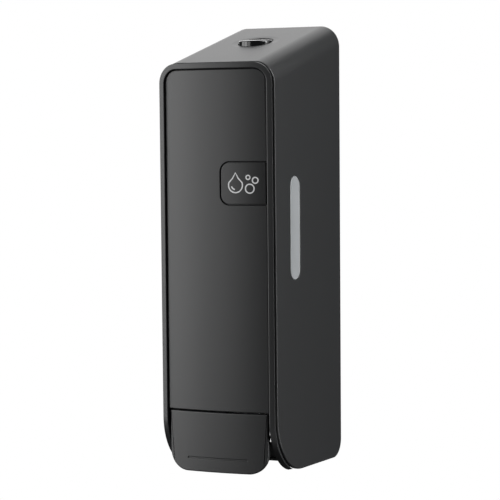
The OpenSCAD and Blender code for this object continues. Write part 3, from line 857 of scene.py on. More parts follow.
@dataclass
class Cover:
    """The swinging cover: shell, frame, panel, label, windows, chin, guide and pins."""

    datum: Datum
    corner_r: float = 12.5
    hinge_r: float = 11.0
    rim_w: float = 3.5
    rim_half: float = 36.5
    rim_corner_r: float = 11.5
    rim_proud: float = 1.38
    rim_inner_round: float = 0.7
    rim_outer_round: float = 0.18
    shadow_gap: float = 0.8
    plug_d: float = 5.8
    rail_r: float = 32.0
    window_gap: float = 0.2
    window_lip: float = 0.1
    window_round: float = 0.5
    window_scoop: float = 0.55
    dish_r: float = 15.0
    dish_depth: float = 0.6
    boss_r: float = 5.0
    button_hole_r: float = 10.65
    frame_screw_x: float = 30.8
    frame_hole_r: float = 1.6
    tab_half: float = 4.0
    eye_r: float = 4.5

    def crown(self, name: str, inset: float) -> Mesh:
        """Makes the long bar under the sloping top, with its rounded upper edges.

        Args:
            name: The object's name.
            inset: How far it lies inside the cover's outside.

        Returns:
            The bar.
        """
        d = self.datum
        half, r = d.half_w - inset, self.corner_r - inset
        outline = rounded(-half, -360, half, -inset, (0, 0, r, r), 22)
        c, s = math.cos(d.slope_angle), math.sin(d.slope_angle)
        top = d.top_z(0.0)
        return prism(name, outline, Axis.Y, -190, 90,
                     lambda p: Vector((p.x, p.y * c - p.z * s, top + p.y * s + p.z * c)))

    def side_outline(self) -> list[Point]:
        """Gives the cover's outline from the side.

        Returns:
            The outline's points.
        """
        d = self.datum
        hy, hz = d.hinge
        top = [(d.top_rear_y, d.top_z(d.top_rear_y)), (d.front_y, d.front_top_z)]
        return arc(hy, hz, self.hinge_r, -90, 0, 16) + top + arc(*d.chin, d.chin_r, 180, 270, 40)

    def slot_outline(self, grow: float) -> list[Point]:
        """Gives the level window's outline from the side.

        Args:
            grow: Distance by which it is larger than the slot.

        Returns:
            The outline's points.
        """
        low, high = box_mm("window_right")
        flange = 2.5
        y, z = (low.y + high.y) / 2, (low.z + high.z) / 2
        half_w, half_l = (high.y - low.y) / 2 - flange + grow, (high.z - low.z) / 2 - flange + grow
        return rounded(y - half_w, z - half_l, y + half_w, z + half_l, (half_w - 0.001,) * 4, 20)

    def tab(self, side: int, z: float) -> Mesh:
        """Makes one tab inside the mouth that takes a frame screw.

        Args:
            side: -1 for the left side, 1 for the right side.
            z: Height of its middle.

        Returns:
            The tab.
        """
        rear = self.datum.front_y + self.plug_d
        xs = sorted((side * 27.3, side * (self.datum.half_w - 1.5)))
        half = self.tab_half
        outline = [(rear, z - half), (rear + 3, z - half), (rear + 3, z + half), (rear, z + half)]
        return prism("tab", outline, Axis.X, *xs,
                     self.datum.leaned)

    def screw_places(self) -> list[tuple[int, float]]:
        """Gives the side and height of each frame screw."""
        low, high = box_mm("front_panel")
        return [(side, z) for side in (-1, 1) for z in (low.z + 38, high.z - 20)]

    def build_shell(self) -> Mesh:
        """Builds the shell with its floor strip, bosses, tabs, window slots, button hole and thumb dish.

        Returns:
            The shell.
        """
        d = self.datum
        shell = prism("cover_shell_visual", self.side_outline(), Axis.X, -60, 60)
        combine(shell, Join.KEEP, self.crown("outer", 0.0))
        combine(shell, Join.CUT, self.crown("inner", d.wall_t))
        inner = d.half_w - d.wall_t
        front, rear = d.hinge[0] - 26, d.hinge[0] - 2
        strip = [(front, 0), (rear, 0), (rear, d.wall_t), (front, d.wall_t)]
        combine(shell, Join.ADD, prism("floor", strip, Axis.X, -inner - 1, inner + 1))
        for side in (-1, 1):
            xs = sorted((side * (inner - 3.5), side * (d.half_w - 1)))
            combine(shell, Join.ADD, prism("boss", ring_of(*d.hinge, self.boss_r, 40), Axis.X, *xs))
            bore = sorted((side * (inner - 5), side * (inner + 1.2)))
            combine(shell, Join.CUT, prism("bore", ring_of(*d.hinge, d.bore_r, 32), Axis.X, *bore))
        for side, z in self.screw_places():
            combine(shell, Join.ADD, self.tab(side, z))
            hole = ring_of(side * self.frame_screw_x, z, self.frame_hole_r, 20)
            combine(shell, Join.CUT, prism("hole", hole, Axis.Y, d.front_y + 4, d.front_y + 12, d.leaned))
        combine(shell, Join.CUT, prism("slot", self.slot_outline(0.0), Axis.X, -60, 60))
        top = d.top_z(d.button_y)
        round_hole = ring_of(0, d.button_y, self.button_hole_r, 72)
        combine(shell, Join.CUT, prism("hole", round_hole, Axis.Z, top - 20, top + 20))
        combine(shell, Join.CUT, self.dish())
        soften(shell, 1.0, 4, 30.0, self.edge_share)
        return settle(shell, COVER_FINISH, "cover_abs", Body.COVER, "cover_shell")

    def edge_share(self, p: Vector) -> float:
        """Gives the part of the rounding for an edge.

        Args:
            p: The edge's middle, in millimetres.

        Returns:
            Nearly the full width on the outer edge of the mouth, and less elsewhere.
        """
        d = self.datum
        top, side = d.top_z(p.y) - p.z, d.half_w - abs(p.x)
        r = self.corner_r
        depth = r - math.hypot(r - side, r - top) if side < r and top < r else min(side, top)
        if p.z > d.chin_r:
            front = p.y - d.front_y - (d.front_top_z - p.z) * math.tan(d.lean_angle)
        else:
            front = d.chin_r - math.dist((p.y, p.z), d.chin) if p.y < d.chin[0] else d.chin_r
        outer = depth < d.wall_t / 3
        if outer and front < 0.3:
            return 0.9
        return 0.45 if outer else 0.3

    def dish(self) -> Mesh:
        """Makes the flat lens that presses the thumb dish into the sloping top.

        Returns:
            The lens.
        """
        d = self.datum
        ball_r = (self.dish_r**2 + self.dish_depth**2) / (2 * self.dish_depth)
        profile: list[Point] = [(0, 12)]
        reach = self.dish_r * 1.25
        profile.append((reach, 12))
        steps = 14
        for i in range(steps + 1):
            r = reach * (1 - i / steps)
            profile.append((r, ball_r - self.dish_depth - math.sqrt(ball_r**2 - r * r)))
        c, s = math.cos(d.slope_angle), math.sin(d.slope_angle)
        top = d.top_z(d.button_y)
        return lathe("dish", profile, Vector((0, 0, 0)), Axis.Z, 96,
                     lambda p: Vector((p.x, d.button_y + p.y * c - p.z * s, top + p.y * s + p.z * c)))

    def rim_profile(self) -> list[tuple[float, str, float]]:
        """Gives the frame's section.

        Returns:
            For each point, the distance outwards, the level it is measured from and the height above that.
        """
        half, proud = self.rim_w / 2, self.rim_proud
        a, b = self.rim_inner_round, self.rim_outer_round
        section = [(-half, "plug", 0.0), (-half, "face", -0.6)]
        section += [(x, "face", h) for x, h in arc(-half + a, proud - a, a, 180, 90, 6)]
        section += [(0.2, "face", proud)]
        section += [(x, "face", h) for x, h in arc(half - b, proud - b, b, 90, 0, 4)]
        return section + [(half, "gap", 0.0), (-0.05, "gap", 0.0), (-0.05, "plug", 0.0)]

    def rim_station(self, x: float, z: float, out: Point) -> list[Vector]:
        """Places the section on the upright part of the frame.

        Args:
            x: Middle of the section, across.
            z: Middle of the section, upwards.
            out: Direction away from the panel, across and up.

        Returns:
            The section's points.
        """
        d = self.datum
        levels = {"gap": d.front_y - self.shadow_gap, "plug": d.front_y + self.plug_d}
        points = []
        for u, kind, h in self.rim_profile():
            px, pz = x + u * out[0], z + u * out[1]
            y = d.face_y(px) - h if kind == "face" else levels[kind]
            points.append(d.leaned(Vector((px, y, pz))))
        return points

    def rail_centre(self) -> Point:
        """Gives the centre of the rails' curve, so that they run on from the leaning rim.

        Returns:
            Its depth and height.
        """
        d = self.datum
        start = d.leaned(Vector((0, d.face_y(self.rim_half - self.rim_w / 2) - self.rim_proud, self.rail_r)))
        return start.y + self.rail_r, self.rail_r

    def rail_station(self, side: int, angle: float) -> list[Vector]:
        """Places the section on a rail.

        Args:
            side: -1 for the left rail, 1 for the right rail.
            angle: Angle below the horizontal, in degrees.

        Returns:
            The section's points.
        """
        d = self.datum
        cy, cz = self.rail_centre()
        dy, dz = -math.cos(math.radians(angle)), -math.sin(math.radians(angle))
        ey, ez = cy - d.chin[0], cz - d.chin[1]
        along = ey * dy + ez * dz

        def reach(r: float) -> float:
            """Distance from the rail's centre to a circle about the chin's centre."""
            return -along + math.sqrt(along**2 - (ey**2 + ez**2 - r * r))

        levels = {"gap": reach(d.chin_r + self.shadow_gap), "plug": reach(d.chin_r - self.plug_d)}
        middle = self.rim_half - self.rim_w / 2
        points = []
        for u, kind, h in self.rim_profile():
            px = middle + u
            fall = d.face_y(px) - d.face_y(middle)
            t = self.rail_r - self.rim_proud + h - fall if kind == "face" else levels[kind]
            points.append(Vector((side * px, cy + dy * t, cz + dz * t)))
        return points

    def build_frame(self) -> Mesh:
        """Builds the frame: rim, rails, ledge behind the panel and eyes for the lever pin.

        Returns:
            The frame.
        """
        d = self.datum
        middle, r = self.rim_half - self.rim_w / 2, self.rim_corner_r - self.rim_w / 2
        top = box_mm("front_frame")[1].z - self.rim_w / 2
        cx, cz = middle - r, top - r
        stations = [self.rail_station(-1, a) for a in [76 - 76 * i / 20 for i in range(21)]]
        stations += [self.rim_station(-middle, z, (-1, 0)) for z in (40, 44, 60, 120, 180, 215)]
        for x, z in arc(-cx, cz, r, 180, 90, 14):
            stations.append(self.rim_station(x, z, ((x + cx) / r, (z - cz) / r)))
        stations += [self.rim_station(-cx + 2 * cx * i / 24, top, (0, 1)) for i in range(1, 24)]
        for x, z in arc(cx, cz, r, 90, 0, 14):
            stations.append(self.rim_station(x, z, ((x - cx) / r, (z - cz) / r)))
        stations += [self.rim_station(middle, z, (1, 0)) for z in (215, 180, 120, 60, 44, 40)]
        stations += [self.rail_station(1, a) for a in [76 * i / 20 for i in range(21)]]
        body = sweep("front_frame_visual", stations)
        rear = d.front_y + self.plug_d
        low = box_mm("front_panel")[0].z - 0.8
        plug_top = box_mm("front_frame")[1].z - 2.8
        ledge = prism("ledge", rounded(-34, low, 34, plug_top, (0, 0, 10, 10)), Axis.Y,
                      rear - 3.4, rear + 0.1, d.leaned)
        hole = rounded(-28, low + 8, 28, plug_top - 10, (6,) * 4)
        combine(ledge, Join.CUT, prism("hole", hole, Axis.Y, rear - 10, rear + 10, d.leaned))
        combine(body, Join.ADD, ledge)
        py, pz = d.pivot
        eye = arc(py, pz, self.eye_r, 180, 360, 20)
        eye += [(py + self.eye_r, low + 3), (py - self.eye_r, low + 3)]
        for side in (-1, 1):
            combine(body, Join.ADD, prism("eye", eye, Axis.X, *sorted((side * 28.5, side * 34.3))))
        bar = [(rear - 1, low + 1), (py + 4, low + 1), (py + 4, low + 3.5), (rear - 1, low + 3.5)]
        combine(body, Join.ADD, prism("bar", bar, Axis.X, -29.5, 29.5))
        combine(body, Join.CUT, prism("bore", ring_of(py, pz, d.bore_r, 32), Axis.X, -60, 60))
        shade(tidy(body, 0.05), 34.0)
        return settle(body, FRAME_FINISH, "frame_abs", Body.COVER, "front_frame")

    def face_block(self, name: str, grow: float, half: float, low: float, high: float) -> Mesh:
        """Makes the solid behind the curved front.

        Args:
            name: The object's name.
            grow: How far its front stands before the curve.
            half: Half of its width.
            low: Lower end.
            high: Upper end.

        Returns:
            The solid.
        """
        d = self.datum
        steps = 44
        xs = [-half + 2 * half * i / steps for i in range(steps + 1)]
        outline = [(x, d.face_y(x, grow)) for x in xs] + [(half, d.front_y + 12), (-half, d.front_y + 12)]
        return prism(name, outline, Axis.Z, low, high, d.leaned)

    def tile_outline(self, grow: float) -> list[Point]:
        """Gives the label tile's outline, rounded most on its left side.

        Args:
            grow: Distance by which it is larger.

        Returns:
            The outline's points.
        """
        low, high = box_mm("label_tile")
        r = 5.5 + grow
        return rounded(low.x - grow, low.z - grow, high.x + grow, high.z + grow, (r, 0.8, 0.8, r))

    def build_panel(self) -> Mesh:
        """Builds the front panel with its recess for the label tile.

        Returns:
            The panel.
        """
        d = self.datum
        low, high = box_mm("front_panel")
        half, spread = high.x + 0.4, 0.4
        outline = rounded(-half, low.z, half, high.z + spread, (0.6, 0.6, 7.4, 7.4), 18)
        panel = prism("front_panel_visual", outline, Axis.Y, -130, d.front_y + 2.35, d.leaned)
        combine(panel, Join.KEEP, self.face_block("face", 0.0, 50, 20, 260))
        inside = rounded(-half + 5, low.z + 5, half - 5, high.z - 5, (4,) * 4)
        hollow = prism("hollow", inside, Axis.Y, -130, -60, d.leaned)
        combine(hollow, Join.KEEP, self.face_block("face", -2.6, 45, 10, 270))
        combine(panel, Join.CUT, hollow)
        recess = prism("recess", self.tile_outline(0.45), Axis.Y, -130, -60, d.leaned)
        combine(recess, Join.CUT, self.face_block("face", -1.25, 60, 0, 280))
        combine(panel, Join.CUT, recess)
        soften(panel, 0.4, 3, 30.0)
        return settle(panel, PANEL_FINISH, "panel_abs", Body.COVER, "front_panel")

    def build_tile(self) -> Mesh:
        """Builds the label tile, which lies flush in the panel.

        Returns:
            The tile.
        """
        d = self.datum
        tile = prism("label_tile_visual", self.tile_outline(-0.25), Axis.Y, -130, d.front_y + 2, d.leaned)
        combine(tile, Join.KEEP, self.face_block("face", 0.0, 50, 20, 260))
        combine(tile, Join.CUT, self.face_block("face", -1.2, 60, 0, 280))
        soften(tile, 0.3, 3, 30.0)
        return settle(tile, TILE_FINISH, "label_gloss", Body.COVER, "label_tile")

    def build_mark(self) -> Mesh:
        """Prints a plain sign on the tile: a drop beside three foam bubbles.

        Returns:
            The sign.
        """
        d = self.datum
        low, high = box_mm("label_tile")
        cx, cz = (low.x + high.x) / 2 - 0.2, (low.z + high.z) / 2 - 0.4
        drop = [(-4.4, 6.6), (-6.1, 3.4)] + arc(-4.4, -0.6, 4.3, 158, 382, 30) + [(-2.7, 3.4)]
        glint = arc(-4.4, -0.6, 2.5, 195, 262, 10)
        strokes = [(drop, True), (glint, False), (ring_of(4.3, -2.6, 2.6, 28), True),
                   (ring_of(7.6, 2.2, 1.7, 22), True), (ring_of(3.3, 3.9, 1.2, 18), True)]
        bm = bmesh.new()
        for points, closed in strokes:
            ribbon(bm, [(cx + x, cz + z) for x, z in points], 0.72, closed,
                   lambda x, h: d.face_y(x) - h)
        mark = to_object("label_mark", bm, d.leaned)
        shade(mark, 40.0)
        return settle(mark, INK_FINISH, None, Body.COVER)

    def build_window(self, side: int) -> Mesh:
        """Builds one level window with its inner flange.

        Args:
            side: -1 for the left one, 1 for the right one.

        Returns:
            The window.
        """
        node = "window_left" if side < 0 else "window_right"
        outer, inner = self.datum.half_w - self.window_lip, self.datum.half_w - self.datum.wall_t
        rim, edge = self.window_gap, self.window_round
        reach = (box_mm(node)[1].y - box_mm(node)[0].y) / 2 - 2.5 - rim
        levels = [(rim, inner - 0.6), (rim, outer - edge)]
        levels += [(rim + edge * (1 - math.cos(a)), outer - edge * (1 - math.sin(a)))
                   for a in (0.4, 0.8, 1.2)]
        for i in range(13):
            share = i / 12
            inset = rim + edge + share * (reach - edge - 0.1)
            levels.append((inset, outer - self.window_scoop * (1 - (1 - share) ** 2)))
        rings = [[Vector((side * x, y, z)) for y, z in self.slot_outline(-inset)] for inset, x in levels]
        lens = sweep(f"{node}_visual", rings)
        flange = prism("flange", self.slot_outline(2.4), Axis.X,
                       *sorted((side * (inner - 1.2), side * inner)))
        combine(lens, Join.ADD, flange)
        shade(lens, 40.0)
        return settle(lens, WINDOW_FINISH, "window_frosted", Body.COVER, node)

    def sector(self, name: str, r0: float, r1: float, a0: float, a1: float, half: float,
               start: float = 0.0) -> Mesh:
        """Makes a bent plate about the chin's centre.

        Args:
            name: The object's name.
            r0: Inner radius.
            r1: Outer radius.
            a0: Upper end, in degrees below the horizontal.
            a1: Lower end, in degrees below the horizontal.
            half: Right side.
            start: Left side, or 0 to reach as far left as right.

        Returns:
            The plate.
        """
        cy, cz = self.datum.chin
        outline = arc(cy, cz, r1, 180 + a0, 180 + a1, 16) + arc(cy, cz, r0, 180 + a1, 180 + a0, 16)
        return prism(name, outline, Axis.X, start if start else -half, half)

    def build_shroud(self) -> Mesh:
        """Builds the curved chin plate behind the lever.

        Returns:
            The chin plate.
        """
        r, half = self.datum.chin_r, self.datum.opening_half
        plate = self.sector("lower_shroud_visual", r - 3.4, r - 1.4, 31, 52, half)
        combine(plate, Join.ADD, self.sector("lip", r - 3.35, r, 49, 53, half - 0.02))
        for side in (-1, 1):
            flange = self.sector("flange", r - 8, r - 1.45, 31.2, 52.8, half - 0.05, half - 2)
            if side < 0:
                flange.data.transform(Matrix.Scale(-1, 4, (1, 0, 0)))
                flange.data.flip_normals()
            combine(plate, Join.ADD, flange)
        soften(plate, 0.35, 3, 30.0)
        return settle(plate, SHROUD_FINISH, "shroud_abs", Body.COVER, "lower_shroud")

    def build_pins(self) -> None:
        """Builds the two hinge pins and the lever pin."""
        _, high = box_mm("hinge_pins")
        pins = None
        for side in (-1, 1):
            start, end = sorted((side * 26.0, side * high.x))
            pin = rod("hinge_pins_visual", self.datum.hinge, self.datum.pin_r, start, end)
            pins = pin if pins is None else combine(pins, Join.ADD, pin)
        settle(shade(pins), PIN_FINISH, "pin_steel", Body.COVER, "hinge_pins")
        low, high = box_mm("lever_pin")
        pin = rod("lever_pin_visual", self.datum.pivot, self.datum.pin_r, low.x, high.x)
        settle(shade(pin), PIN_FINISH, "pin_steel", Body.COVER, "lever_pin")

    def build_guide(self) -> Mesh:
        """Builds the tube that guides the release button."""
        guide = refined("button_guide", "button_guide_visual", 0.3)
        return settle(guide, GUIDE_FINISH, "guide_abs", Body.COVER, "button_guide")

    def build(self, kit: ScrewKit) -> None:
        """Builds every piece of the cover in order.

        Args:
            kit: Sets the screws.
        """
        self.build_shell()
        self.build_frame()
        self.build_panel()
        self.build_tile()
        self.build_mark()
        for side in (-1, 1):
            self.build_window(side)
        self.build_shroud()
        self.build_pins()
        self.build_guide()
        rear = self.datum.front_y + self.plug_d + 3
        places = [self.datum.leaned(Vector((side * self.frame_screw_x, rear, z)))
                  for side, z in self.screw_places()]
        kit.place("cover_screws_visual", Screw(1.3, 5.5, 2.7, 1.8), Vector((0, 1, 0)), places, Body.COVER,
                  "cover_screws")


def sweep(name: str, stations: Sequence[Sequence[Vector]]) -> Mesh:
    """Joins equal sections along a path to a closed solid.

    Args:
        name: The object's name.
        stations: The sections, each a closed ring of points in the same order.

    Returns:
        The solid.
    """
    bm = bmesh.new()
    rings = [[bm.verts.new(p) for p in ring] for ring in stations]
    count = len(rings[0])
    for one, two in zip(rings, rings[1:]):
        for i in range(count):
            j = (i + 1) % count
            bm.faces.new((one[i], one[j], two[j], two[i]))
    bm.faces.new(rings[0])
    bm.faces.new(list(reversed(rings[-1])))
    return to_object(name, bm)


def ribbon(bm: bmesh.types.BMesh, points: Sequence[Point], width: float, closed: bool,
           depth: Callable[[float, float], float]) -> None:
    """Adds a thin raised line of even width to a mesh.

    Args:
        bm: The mesh.
        points: The line's middle, across and up.
        width: The line's width.
        closed: Whether its end joins its start.
        depth: Gives the depth at a place across, for a height above the surface.
    """
    count = len(points)
    rings = []
    for i, (x, z) in enumerate(points):
        before = points[i - 1] if closed or i else points[i]
        after = points[(i + 1) % count] if closed or i < count - 1 else points[i]
        dx, dz = after[0] - before[0], after[1] - before[1]
        size = math.hypot(dx, dz)
        nx, nz = -dz / size * width / 2, dx / size * width / 2
        ring = []
        for side, h in ((-1, -0.05), (1, -0.05), (1, 0.05), (-1, 0.05)):
            px, pz = x + side * nx, z + side * nz
            ring.append(bm.verts.new((px, depth(px, h), pz)))
        rings.append(ring)
    pairs = list(zip(rings, rings[1:] + ([rings[0]] if closed else [])))
    for one, two in pairs:
        for i in range(4):
            j = (i + 1) % 4
            bm.faces.new((one[i], one[j], two[j], two[i]))
    if not closed:
        bm.faces.new(rings[0])
        bm.faces.new(list(reversed(rings[-1])))


def rod(name: str, centre: Point, r: float, x0: float, x1: float, chamfer: float = 0.4) -> Mesh:
    """Makes a round rod along X with chamfered ends, about a point given as depth and height."""
    profile = [(0, x0), (r - chamfer, x0), (r, x0 + chamfer), (r, x1 - chamfer), (r - chamfer, x1), (0, x1)]
    return lathe(name, profile, Vector((0, centre[0], centre[1])), Axis.X, 40)


# ---- Lever ----


@dataclass
class Lever:
    """The push lever with its yoke and screws."""

    cover: Cover
    line_half: float = 19.5
    line_z: float = 8.7
    corner_r: float = 12.0
    wall_t: float = 2.6
    pad_half: float = 20.0
    cheek_d: float = 3.4

    def build_lever(self) -> Mesh:
        """Builds the curved push plate with its engraved line, pad and eyes.

        Returns:
            The lever.
        """
        d = self.cover.datum
        half, py, pz = box_mm("push_lever")[1].x, *d.pivot
        top, bottom = 35.9, 0.5
        outline = rounded(-half, bottom, half, top, (self.corner_r, self.corner_r, 0.5, 0.5), 18)
        lever = prism("push_lever_visual", outline, Axis.Y, -130, d.front_y + 8, d.leaned)
        combine(lever, Join.KEEP, self.cover.face_block("face", 0.0, 50, -20, 60))
        combine(lever, Join.CUT, self.cover.face_block("face", -self.wall_t, 60, -40, 80))
        line = rounded(-self.line_half, self.line_z - 0.45, self.line_half, self.line_z + 0.45, (0.4,) * 4, 4)
        groove = prism("line", line, Axis.Y, -130, -60, d.leaned)
        combine(groove, Join.CUT, self.cover.face_block("face", -0.6, 60, -40, 80))
        combine(lever, Join.CUT, groove)
        wide = self.pad_half
        pad = [(-wide, pz - 11), (wide, pz - 11), (wide, pz - 1), (-wide, pz - 1)]
        block = prism("pad", pad, Axis.Y, -130, py - 6.5)
        combine(block, Join.KEEP, self.cover.face_block("face", -1.3, 50, -20, 60))
        combine(lever, Join.ADD, block)
        root = d.front_y + 1.2
        eye = [(root, pz - 5), (py, pz - 4.5)] + arc(py, pz, 4.5, -80, 80, 20)
        eye += [(py, pz + 4.5), (root, pz + 5)]
        for side in (-1, 1):
            combine(lever, Join.ADD, prism("eye", eye, Axis.X, *sorted((side * 23.5, side * 28.0))))
        rear = d.front_y + self.cheek_d
        cheek = [(root - 1, 14.5), (root + 0.9, 16), (rear - 0.9, 19), (rear, 23), (rear, pz - 7),
                 (root - 1, pz - 5)]
        for side in (-1, 1):
            xs = sorted((side * (half - 2.4), side * (half - 0.3)))
            combine(lever, Join.ADD, prism("cheek", cheek, Axis.X, *xs, d.leaned))
        combine(lever, Join.CUT, prism("bore", ring_of(py, pz, 2.05, 32), Axis.X, -60, 60))
        soften(lever, 0.8, 4, 30.0, self.edge_share)
        return settle(lever, LEVER_FINISH, "lever_abs", Body.LEVER, "push_lever")

    def edge_share(self, p: Vector) -> float:
        """Gives the part of the rounding for an edge: full on the face's outline, small elsewhere.

        Args:
            p: The point, in millimetres.

        Returns:
            The part of the full width.
        """
        d = self.cover.datum
        face = d.face_y(min(abs(p.x), 40.0)) + (d.front_top_z - p.z) * math.tan(d.lean_angle)
        if abs(p.y - face) < 0.35:
            inner = abs(p.x) < self.line_half + 0.6 and abs(p.z - self.line_z) < 1.0
            return 0.3 if inner else 1.0
        return 0.3

    def build(self, kit: ScrewKit) -> None:
        """Builds every piece of the lever in order.

        Args:
            kit: Sets the screws.
        """
        self.build_lever()
        yoke = refined("lever_yoke", "lever_yoke_visual", 0.35)
        settle(yoke, YOKE_FINISH, "yoke_pom", Body.LEVER, "lever_yoke")
        low, high = box_mm("yoke_screws")
        z = (low.z + high.z) / 2
        places = [Vector((x, high.y - 1.5, z)) for x in (-16.5, 16.5)]
        kit.place("yoke_screws_visual", Screw(1.25, 6.4, 2.4, 1.5), Vector((0, 1, 0)), places, Body.LEVER,
                  "yoke_screws")


# ---- Release button ----


@dataclass
class Release:
    """The release button with its spring, hook and screw."""

    datum: Datum
    cap_r: float = 10.25
    proud: float = 1.2
    tilt: float = 3.4
    dome: float = 0.35
    travel: float = 3.0

    def build_button(self) -> Mesh:
        """Builds the polished button: domed top, rounded edge, skirt and stem.

        Returns:
            The button.
        """
        d = self.datum
        low, _ = box_mm("release_button")
        top = d.top_z(d.button_y) + self.proud
        under = top - 8.9
        edge = 0.9
        stem, chamfer = 3.0, 0.3
        profile: list[Point] = [(0, low.z), (stem - chamfer, low.z), (stem, low.z + chamfer), (stem, under),
                                (self.cap_r - chamfer, under), (self.cap_r, under + chamfer)]
        profile += arc(self.cap_r - edge, top - edge - self.dome, edge, 0, 78, 8)
        profile += [(r, top - self.dome * (r / self.cap_r) ** 2) for r in (7.6, 6.0, 4.4, 2.8, 1.4)]
        profile.append((0, top))
        rise = math.tan(math.radians(self.tilt))

        def tilted(p: Vector) -> Vector:
            """Lets the upper end follow the button's slope."""
            share = min(1.0, max(0.0, (p.z - top + 5.0) / 3.0))
            return Vector((p.x, p.y, p.z + share * rise * (p.y - d.button_y)))

        button = lathe("release_button_visual", profile, Vector((0, d.button_y, 0)), Axis.Z, 96, tilted)
        shade(button, 50.0)
        return settle(button, BUTTON_FINISH, "button_gloss", Body.RELEASE, "release_button")

    def build(self, springs: Repeater, kit: ScrewKit) -> None:
        """Builds every piece of the release in order.

        Args:
            springs: The tree that winds springs.
            kit: Sets the screws.
        """
        self.build_button()
        spring = wind(springs, "button_spring", 4, 6.0, 0.4, Body.RELEASE)
        low, high = box_mm("button_spring")
        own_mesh(spring)
        hook = refined("latch_hook", "latch_hook_visual", 0.35)
        settle(hook, HOOK_FINISH, "hook_pom", Body.RELEASE, "latch_hook")
        low, high = box_mm("hook_screw")
        kit.place("hook_screw_visual", Screw(1.5, high.z - low.z - 1.6, 3.0, 1.6), Vector((0, 0, -1)),
                  [Vector((0, self.datum.button_y, low.z + 1.6))], Body.RELEASE, "hook_screw")


def wind(springs: Repeater, node: str, turns: float, r: float, wire: float, body: Body) -> Mesh:
    """Winds a spring in the place of a packed one.

    Args:
        springs: The tree that winds it.
        node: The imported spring.
        turns: Number of turns.
        r: Radius of the coil's middle.
        wire: Radius of the wire.
        body: The body it rides on.

    Returns:
        The spring.
    """
    low, high = box_mm(node)
    obj = to_object(f"{node}_visual", bmesh.new())
    steel = _made.setdefault(SPRING_FINISH.name, SPRING_FINISH.make())
    springs.run(obj, {"Turns": float(turns), "Radius": r * MM, "Height": (high.z - low.z - 2 * wire) * MM,
                      "Wire": wire * MM, "Middle Depth": (low.y + high.y) / 2 * MM,
                      "Low Height": (low.z + wire + BASE_Z) * MM, "Material": steel})
    shade(obj, 60.0)
    return settle(obj, SPRING_FINISH, "spring_steel", body, node)


# ---- Wall unit and pump ----


